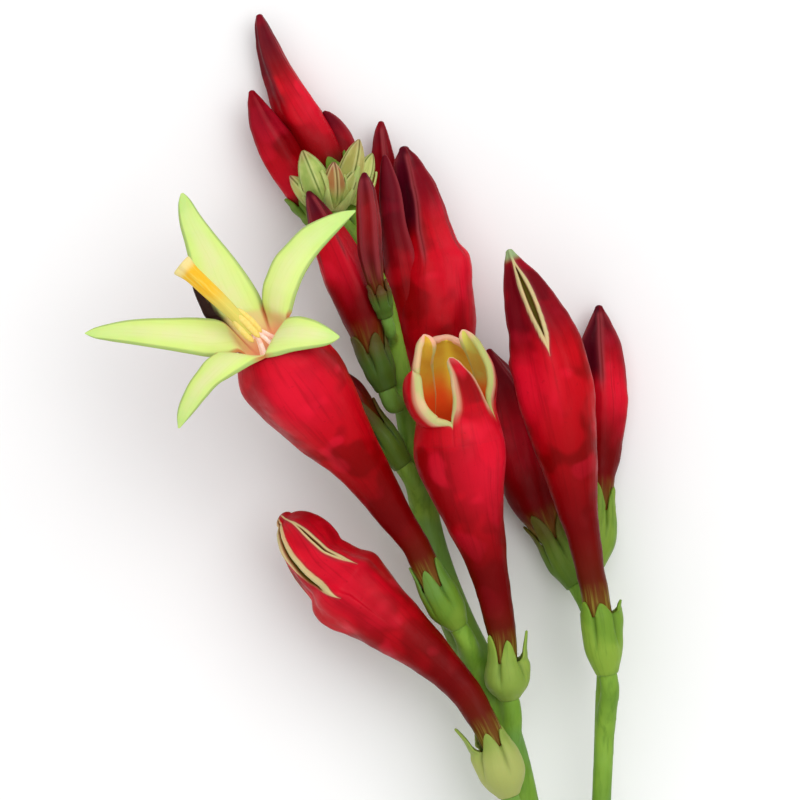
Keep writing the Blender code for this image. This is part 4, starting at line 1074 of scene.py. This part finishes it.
def star(name, tube):
    """Five long lobes that arch out of the throat, green-yellow above and red below."""
    shape = Shape()
    end = mouth(tube)
    u = np.linspace(-1, 1, LOBE_COLUMNS)
    shares = np.linspace(0, 1, STAR_ROWS)
    fold_heading = unit(FOLD_END - FOLD_START)
    roots = len(THROAT)
    for key, (first, last, cushion, pairs) in STAR.items():
        angles = np.radians(0.5 * (first + last) + 0.5 * (last - first) * u)[:, None]
        ring = np.cos(angles) * end.side + np.sin(angles) * end.up
        control = [end.centre + end.direction * depth + ring * width for depth, width in THROAT]
        for pair in pairs:
            a, b = np.array(pair[:3]), np.array(pair[3:])
            control.append(0.5 * (a + b) + 0.5 * (b - a) * u[:, None])
        grid = curve(control, shares)
        if looks_away(grid, 40, UPWARD):
            grid = grid[:, ::-1]
        middle = grid[:, LOBE_COLUMNS // 2]
        width = 0.5 * np.linalg.norm(grid[:, -1] - grid[:, 0], axis=1)
        normal = unit(np.cross(grid[:, -1] - grid[:, 0], np.gradient(middle, axis=0)))
        position = shares * (len(control) - 1)
        out = smooth(roots - 0.6, roots + 1, position)
        grid = grid + normal[:, None] * ((cushion * width * out)[:, None] * (1 - u ** 2))[..., None]
        thick = (0.28 + 0.52 * out)[:, None] * (1 - 0.35 * u ** 2) * smooth(-0.1, 1.1, width)[:, None]
        along = np.clip((position - roots) / (len(control) - 1 - roots), 0, 1)[:, None]
        deep = 0.85 * (1 - smooth(roots - 1.6, roots - 0.1, position))[:, None]
        # Painted shade: near black on the back lobe where a folded margin lies in shadow.
        x, y = grid[..., 0] - FOLD_START[0], grid[..., 1] - FOLD_START[1]
        from_fold = x * -fold_heading[1] + y * fold_heading[0]
        fold = smooth(0.5, -0.2, from_fold) * smooth(FOLD_TOP, FOLD_TOP - 1, grid[..., 1]) * (key == "back")
        grain = together(width[:, None] * u, 0, lengths(middle)[:, None])
        shape.leaf(grid, thick, along=along, across=np.abs(u), grain=grain, deep=deep, fold=fold)
    shape.piece(name + "_star", LOBES, "lobe_yellow", name + "_lobes")


# The half-open flower's lobes from the rim to the tip: x, y, z of both edges, the angle that
# they stand at round the mouth, and the share of their tip that shows pink.
CUP = {
    "front_right": (58, 0.3, [
        (6.1, -3.8, 21.15, 10.97, -2.64, 18.1), (6.4, -1.4, 22.2, 10.35, -1, 19.3),
        (6.5, 0, 22.8, 9.8, 0.1, 20.4), (6.3, 1.5, 23.2, 9.15, 1.5, 21.4),
        (6.1, 2.75, 23.4, 8.4, 2.75, 22.3), (5.75, 3.8, 23.5, 7.45, 3.75, 22.8),
        (5.55, 4.4, 23.5, 6.75, 4.45, 23.2), (5.6, 4.8, 23.4, 6.15, 4.82, 23.4),
    ]),
    "front_left": (133, 0, [
        (2, -3.6, 17.3, 6.1, -3.85, 21.15), (1.73, -1.95, 17.2, 4.3, -3.1, 21.7),
        (1.2, -0.92, 17.3, 2.76, -1.84, 21.9), (0.69, 0.23, 17.6, 1.95, -0.46, 22),
        (0.44, 1.38, 18.2, 1.7, 1, 22), (0.53, 2.4, 19.2, 1.6, 2.3, 21.8),
        (0.98, 3.1, 20.4, 1.5, 3, 21.5), (1.35, 3.35, 21.1, 1.45, 3.35, 21.2),
    ]),
    "back_left": (202, 1, [
        (3.93, -2.55, 12.7, 2, -3.6, 17.3), (3.6, 0, 12.9, 1.6, -1, 19), (3.4, 2, 13.5, 1.45, 1.2, 20),
        (3.3, 4, 15.4, 1.5, 3.6, 20.7), (3.45, 5.3, 17.6, 1.62, 5, 20.9), (3.75, 6.3, 19, 1.8, 6.2, 21),
        (3.75, 7, 19.9, 2.15, 6.95, 20.9), (3.3, 7.45, 20.4, 2.6, 7.45, 20.6),
    ]),
    "back": (270, 0.8, [
        (9.27, -1.9, 12.7, 3.93, -2.55, 12.7), (9.1, 1, 12.6, 3.6, 0.8, 12.6),
        (8.8, 3.2, 13.2, 3.4, 3.2, 13.2), (8.5, 5, 14.4, 3.3, 5.2, 14.4), (8, 6, 15.7, 3.3, 6.6, 15.7),
        (7.3, 6.8, 16.5, 3.7, 7.2, 16.5), (6.2, 7.35, 16.8, 4.6, 7.42, 16.8),
    ]),
    "right": (342, 0.9, [
        (10.97, -2.64, 18.1, 9.27, -1.9, 12.7), (10.5, 0.1, 19.9, 9.55, 0.6, 13.6),
        (10.75, 1.96, 20.8, 9.3, 2.3, 14.4), (10.6, 3.8, 21.2, 8.7, 4, 15.8),
        (9.95, 5.4, 21.2, 8.05, 5.5, 17.6), (9.15, 6.85, 20.9, 7.4, 6.6, 19.2),
        (8.3, 7.65, 20.7, 7, 7.4, 20), (7.6, 8.05, 20.4, 7.1, 8, 20.2),
    ]),
}
# How far down the tube each of these lobes reaches.
ROOT_DEPTH = 2.4


def cup_lobes(name, tube):
    """Five thick lobes that still stand round the mouth, red outside and amber inside."""
    shape = Shape()
    end = mouth(tube)
    length = Axis(tube.axis).length
    u = np.linspace(-1, 1, LOBE_COLUMNS)
    shares = np.linspace(0, 1, CUP_LOBE_ROWS)
    for key, (degrees, pink, pairs) in CUP.items():
        angle = math.radians(degrees)
        out = math.cos(angle) * end.side + math.sin(angle) * end.up
        stations = np.array(pairs, float)
        rim = stations[0].reshape(2, 3) - end.centre
        first, last = np.unwrap(np.arctan2(rim @ end.side, rim @ end.up))
        turn = (0.5 * (first + last) + 0.5 * (last - first) * u)[None, :]
        stations = np.concatenate((stations[:1] - np.tile(end.direction * ROOT_DEPTH, 2), stations))
        position = shares * (len(stations) - 1)
        edges = curve(stations, shares)
        a, b = edges[:, :3], edges[:, 3:]
        width = 0.5 * np.linalg.norm(b - a, axis=1)
        middle = 0.5 * (a + b)
        outward = unit(np.cross(b - a, np.gradient(middle, axis=0)))
        outward = np.where((outward @ out)[:, None] < 0, -outward, outward)
        bulge = (0.33 * width)[:, None] * (1 - u ** 2)
        grid = middle[:, None] + 0.5 * (b - a)[:, None] * u[:, None] + outward[:, None] * bulge[..., None]
        # The lowest part lies on the tube's own skin and leaves it in its own direction.
        back = ROOT_DEPTH * np.maximum(1 - position, 0)
        rise = lengths(middle)
        beyond = np.maximum(rise - np.interp(1, position, rise), 0)
        skin = tube_skin(tube, length - back, turn, 0.10 - 0.15 * smooth(0, 0.6, position))
        ends = tube_skin(tube, np.array([length - 0.8, length]), turn, -0.05)
        skin += beyond[:, None, None] * unit(ends[1] - ends[0])
        share = smooth(1, 2.2, position)[:, None, None]
        grid = skin * (1 - share) + grid * share
        # Painted highlight, as on the tube.
        glow = painted_tube_highlight(tube, turn, (back - beyond)[:, None])
        grain = grain_of(turn, (length - back + beyond)[:, None])
        if looks_away(grid, 20, outward[20]):
            grid, glow, grain = grid[:, ::-1], glow[:, ::-1], grain[:, ::-1]
        along = np.clip((position - 1) / (len(stations) - 2), 0, 1)[:, None]
        full = 0.95 if key == "front_left" else 0.55
        thick = (0.30 + full * smooth(0, 0.20, along)) * smooth(-0.25, 1.2, width)[:, None]
        shape.leaf(grid, thick, along=along, grain=grain, belly=glow, olive=key == "right",
                   keel=bell(u, 0.1, 0.32) * smooth(0.05, 0.3, along) * (key == "back"),
                   margin=0.85 * smooth(0.66, 0.94, np.abs(u)) * smooth(0.02, 0.2, along),
                   blush=pink * smooth(0.72, 0.95, along))
    shape.piece(name + "_cup", CUP_LOBES, "corolla_red", name + "_lobes")


# Stamens and style.

STYLE = [
    (-17.1, 7.7, 28.2, 0.60), (-18.7, 9.5, 29, 0.74), (-20.3, 11.1, 29.5, 0.84), (-21.9, 12.6, 29.7, 0.92),
    (-23.3, 13.9, 29.7, 0.95), (-24.2, 14.7, 29.5, 0.98), (-24.9, 15.3, 29.4, 1.12),
]
# Rings past the style's end that turn inwards: share of the radius, and distance along the axis.
DENT = np.array([(1.01, 0.12), (0.95, 0.26), (0.84, 0.30), (0.70, 0.15), (0.52, -0.2), (0.28, -0.5)])
STYLE_ROWS, STYLE_SIDES = 60, 48
# The line that the anthers close round.
CONE_START = np.array((-16.9, 7.7, 27.9))
CONE_END = np.array((-18.7, 9.6, 29))
# How far below the mouth the threads leave the tube's wall.
THREAD_DEPTH = 9


def swept(shape, stations, rows, sides, groove=0, **marks):
    """A thread, anther or stalk along its stations."""
    run, here = Axis(stations).evenly(rows)
    angles = around(sides)
    rings = here.rings(angles, here.radius[:, None] * (1 - groove * np.cos(2 * angles)))
    shape.rings(rings, grain=grain_of(angles, run[:, None]), **marks)


def stamens(name, tube):
    """Five threads from the throat's wall, and golden anthers closed round the style."""
    shape = Shape()
    axis = Axis(tube.axis)
    end, low = mouth(tube), axis.at(axis.length - THREAD_DEPTH)
    heading = unit(CONE_END - CONE_START)
    flank = unit(np.cross(heading, UPWARD))
    top = np.cross(flank, heading)
    for k in range(5):
        angle = k * SECTOR + 0.3
        out = math.cos(angle) * top + math.sin(angle) * flank
        wall = math.cos(angle) * end.up + math.sin(angle) * end.side
        foot = low.centre + wall * (low.radius - TUBE_WALL)
        passing = end.centre + wall * 0.75
        collar = CONE_START - heading * 0.2 + out * 0.80
        swept(shape, [(*foot, 0.20), (*passing, 0.25), (*collar, 0.21)],
              rows=30, sides=14, anther=0)
        point = CONE_END + heading * (0.3 + 0.5 * (k % 2)) + out * 0.55
        belly = 0.55 * collar + 0.45 * point + out * 0.10
        swept(shape, [(*(collar - heading * 0.5), 0.10), (*(collar + heading * 0.1), 0.32), (*belly, 0.38),
                      (*(0.3 * belly + 0.7 * point), 0.30), (*point, 0.08)],
              rows=26, sides=18, groove=0.08, anther=1)
    shape.piece(name + "_threads", STAMEN, "stamen_cream", name + "_stamens")


def column(name):
    """The style, which widens to a hollow lip."""
    axis = Axis(STYLE)
    run, here = axis.evenly(STYLE_ROWS)
    angles = around(STYLE_SIDES)
    share = np.concatenate((run / axis.length, np.ones(len(DENT))))[:, None]
    flute = 1 + 0.07 * np.cos(5 * angles) * smooth(0.1, 0.6, share)
    lobed = 1 + 0.16 * np.cos(2 * (angles - 1.3)) * smooth(0.82, 1, share)
    radius = np.concatenate((here.radius, here.radius[-1] * DENT[:, 0]))[:, None]
    centre = np.concatenate((here.centre, here.centre[-1] + here.direction[-1] * DENT[:, 1:]))
    direction = np.concatenate((here.direction, np.repeat(here.direction[-1:], len(DENT), axis=0)))
    shape = Shape()
    shape.rings(Stretch(centre, direction).rings(angles, radius * flute * lobed),
                grain=grain_of(angles, share * axis.length), along=share)
    shape.piece(name, YELLOW, "style_yellow", "open_flower_style")


# Stem.

STALKS = {
    "cut_stalk": [
        (21.3, -109, 1.4, 1.32), (21, -98, 1.4, 1.32), (20.4, -86, 1.6, 1.3), (20, -76.5, 2.6, 1.35),
    ],
    "left_branch": [
        (20.3, -80, 2.1, 1), (18.6, -68, 4.2, 1.3), (16.4, -57, 6.2, 1.5), (14.1, -46.5, 7.2, 1.95),
        (12.3, -40, 7.5, 2.2), (9.8, -32.5, 7.8, 2.2), (6.4, -25, 8, 2), (3.8, -17.5, 8.2, 1.8),
        (2.3, -10, 8.5, 1.6), (1, -2, 9, 1.5), (-0.7, 6, 9.8, 1.35), (-2.4, 13, 10, 1.2),
        (-5.6, 19, 9.8, 1), (-8.6, 22.4, 9.6, 0.9),
    ],
    "right_branch": [
        (20.1, -79, 2.2, 1), (21.2, -67, 4, 1.15), (22.4, -57, 5.6, 1.15), (23.2, -46, 7, 1.15),
        (23.6, -36, 7.6, 1.2), (23.8, -27, 7, 1),
    ],
}
# Where each flower's own stalk leaves its branch, and how thick that stalk is.
STALK_ROOTS = {
    "splitting_bud": ((14.2, -51.5, 7), 1.25), "tall_bud": ((23.6, -38, 7.8), 1.15),
    "right_bud": ((23.4, -27, 7), 0.95), "inner_bud": ((23.6, -28.5, 7), 1),
    "large_back_bud": ((3.6, -18.5, 8.3), 1), "slender_back_bud": ((-0.4, 4.6, 9.8), 0.8),
    "dark_bud": ((0.4, 0, 9.6), 1.1), "slender_dark_bud": ((-0.9, 6.6, 10.2), 0.75),
    "hidden_bud": ((2.6, -12.6, 8.6), 1.2), "upper_left_bud": ((-4.6, 17.6, 9.8), 0.85),
    "outer_left_bud": ((-7.4, 20.6, 9.6), 0.8), "open_flower": ((8.6, -31, 8.4), 1.35),
    "half_open_flower": ((12.5, -41, 8), 1.40),
}


def stem():
    """The cut stalk, its fork, both branches and each flower's short stalk, grown together."""
    shape = Shape()
    for stations in STALKS.values():
        swept(shape, stations, rows=14 * len(stations), sides=28)
    for key, (root, thick) in STALK_ROOTS.items():
        flower = FLOWERS[key]
        base, start = np.array(flower.base), np.array(root)
        towards = unit(np.array(flower.axis[0][:3]) - base)
        bend = base - towards * 1.8
        end_radius = foot_width(flower.cup) - 0.12
        swept(shape, [(*start, thick + 0.1), (*(0.5 * (start + bend)), thick),
                      (*bend, 0.5 * (thick + end_radius)), (*(base + towards * 0.5), end_radius)],
              rows=30, sides=22)
    made = shape.piece("stem_stalks", STEM, "stem_green", "stem")
    joined = made.modifiers.new("Grown together", "REMESH")
    joined.mode = "VOXEL"
    joined.voxel_size = 0.3 * MM
    joined.use_smooth_shade = True
    eased = made.modifiers.new("Eased", "SMOOTH")
    eased.factor = 0.6
    eased.iterations = 8


# Young buds.

# Base, tip, greatest radius, and how rosy the body is and how dark its tip.
YOUNG_BUDS = [
    ((-8.6, 22.4, 9.8), (-11.2, 28.7, 11.8), 1.75, 0, 0.5),
    ((-7.8, 22.2, 10), (-7.6, 27.4, 11.8), 1.40, 0.85, 1),
    ((-7.6, 22, 9.4), (-5, 26.6, 10.2), 1.35, 0.25, 0.2),
    ((-8.9, 22, 9.7), (-12.7, 25.8, 10.4), 1.20, 0.2, 0.9),
    ((-6.8, 22.6, 9), (-4.7, 30, 8.6), 1.60, 0.35, 0.5),
    ((-5.6, 22.6, 8.2), (-3.2, 28.4, 7.8), 1.40, 0.1, 0.2),
]
# Share of the length, and share of the greatest radius there.
YOUNG_PROFILE = [(0, 0.45), (0.18, 0.85), (0.38, 1), (0.60, 0.90), (0.80, 0.64), (0.93, 0.34), (1, 0.12)]
# How far the middle of a young bud is raised above the straight line between its ends.
BOW = np.array((0, 0, 0.35))
YOUNG_ROWS = 44
# Their sepals: how many, points along and across, and how thick.
YOUNG_SEPALS, SEPAL_LENGTHWISE, SEPAL_ACROSS, SEPAL_THICK = 3, 22, 9, 0.18


def young_buds():
    """The green buds at the tip of the left branch, with sepals still pressed to them."""
    shape = Shape()
    angles, offset, _ = seam_angles(7)
    u = np.linspace(-1, 1, SEPAL_ACROSS)
    x = np.linspace(0, 1, SEPAL_LENGTHWISE)[:, None]
    for index, (base, tip, greatest, rosy, dark) in enumerate(YOUNG_BUDS):
        base, tip = np.array(base), np.array(tip)
        axis = Axis([(*(base + (tip - base) * a + BOW * math.sin(math.pi * a)), greatest * w)
                     for a, w in YOUNG_PROFILE])
        run, here = axis.evenly(YOUNG_ROWS)
        share = (run / axis.length)[:, None]
        away = here.radius[:, None] * np.abs(offset)
        seam = smooth(0.15, 0.4, share) * bell(away, 0, 0.09)
        reach = here.radius[:, None] * (1 + 0.06 * np.cos(5 * angles)) - 0.12 * seam
        turn = angles[None, :] + 0.4 * index
        # The slit mark paints shade along the grooves between the petals.
        shape.rings(here.rings(turn, reach), grain=grain_of(turn, run[:, None]), slit=0.7 * seam,
                    cream=0.6 * bell(away, 0.22, 0.1) * smooth(0.3, 0.5, share),
                    rosy=rosy * smooth(0.25, 0.6, share), dark=dark * smooth(0.78, 0.97, share))
        for k in range(YOUNG_SEPALS):
            far = 0.62 + 0.12 * math.sin(2 * k + index)
            here = axis.at((0.02 + x[:, 0] * (far - 0.02)) * axis.length)
            half_width = 0.62 * np.maximum(0.03, 1 - x ** 1.8) ** 0.8
            turn = 0.7 + SECTOR * 5 / 3 * k + index - u * half_width / (here.radius[:, None] + 0.3)
            lift = here.radius[:, None] + 0.18 - 0.10 * x ** 2 + 0.06 * (1 - u ** 2)
            grain = together(u, 0, x * far * axis.length)
            shape.leaf(here.rings(turn, lift), SEPAL_THICK, grain=grain, cream=0.25)
    shape.piece("young_buds_cluster", YOUNG, "bud_green", "young_green_buds")


for seed, (bud_name, bud) in enumerate(BUDS.items()):
    closed_bud(bud_name, bud, 3.7 * seed)
for tube_name, tube in TUBES.items():
    open_tube(tube_name, tube)
for flower_name, flower in FLOWERS.items():
    calyx(flower_name, flower)
star("open_flower", TUBES["open_flower"])
cup_lobes("half_open_flower", TUBES["half_open_flower"])
stamens("open_flower", TUBES["open_flower"])
column("open_flower_column")
stem()
young_buds()

# Stage, light and camera.

# Half the width of the surface, in metres like all that follows.
GROUND = 1.5
ground_mesh = bpy.data.meshes.new("ground")
corners = [(-GROUND, -GROUND, 0), (GROUND, -GROUND, 0), (GROUND, GROUND, 0), (-GROUND, GROUND, 0)]
ground_mesh.from_pydata(corners, [], [(0, 1, 2, 3)])
ground = bpy.data.objects.new("ground", ground_mesh)
bpy.context.scene.collection.objects.link(ground)
ground_mesh.materials.append(ground_paint())


def lamp(name, place, aim, power, size):
    """A square soft light that looks at a point."""
    light = bpy.data.lights.new(name, "AREA")
    light.energy = power
    light.size = size
    made = bpy.data.objects.new(name, light)
    made.location = place
    made.rotation_euler = (Vector(aim) - Vector(place)).to_track_quat("-Z", "Y").to_euler()
    bpy.context.scene.collection.objects.link(made)


view = bpy.context.scene.view_settings
view.view_transform = "Standard"
view.look = "None"
world = bpy.data.worlds.new("soft_room")
world.use_nodes = True
# The room is brightest overhead and dims towards the horizon.
room = world.node_tree
backdrop = room.nodes["Background"]
backdrop.inputs["Color"].default_value = (1.0, 1.0, 1.0, 1.0)
heading = room.nodes.new("ShaderNodeTexCoord").outputs["Generated"]
parts = room.nodes.new("ShaderNodeSeparateXYZ")
room.links.new(heading, parts.inputs[0])
overhead = room.nodes.new("ShaderNodeMapRange")
overhead.inputs["To Min"].default_value = 0.36
overhead.inputs["To Max"].default_value = 1.06
room.links.new(parts.outputs["Z"], overhead.inputs["Value"])
room.links.new(overhead.outputs["Result"], backdrop.inputs["Strength"])
bpy.context.scene.world = world
lamp("key", (0.36, 0.36, 1.00), (0.0, 0.03, 0.0), 5.0, 0.90)

camera = bpy.data.objects.new("camera", bpy.data.cameras.new("camera"))
bpy.context.scene.collection.objects.link(camera)
bpy.context.scene.camera = camera
# From the flower's middle height to the eye, and the width that is seen there.
DISTANCE = 4.0
SHOWN = 0.0920
MIDDLE_HEIGHT = 0.014
SENSOR = 36.0
camera.data.sensor_width = SENSOR
camera.data.lens = SENSOR * DISTANCE / SHOWN
camera.data.clip_end = 10.0
camera.location = (HEAD[0] * MM, HEAD[1] * MM, DISTANCE + MIDDLE_HEIGHT)
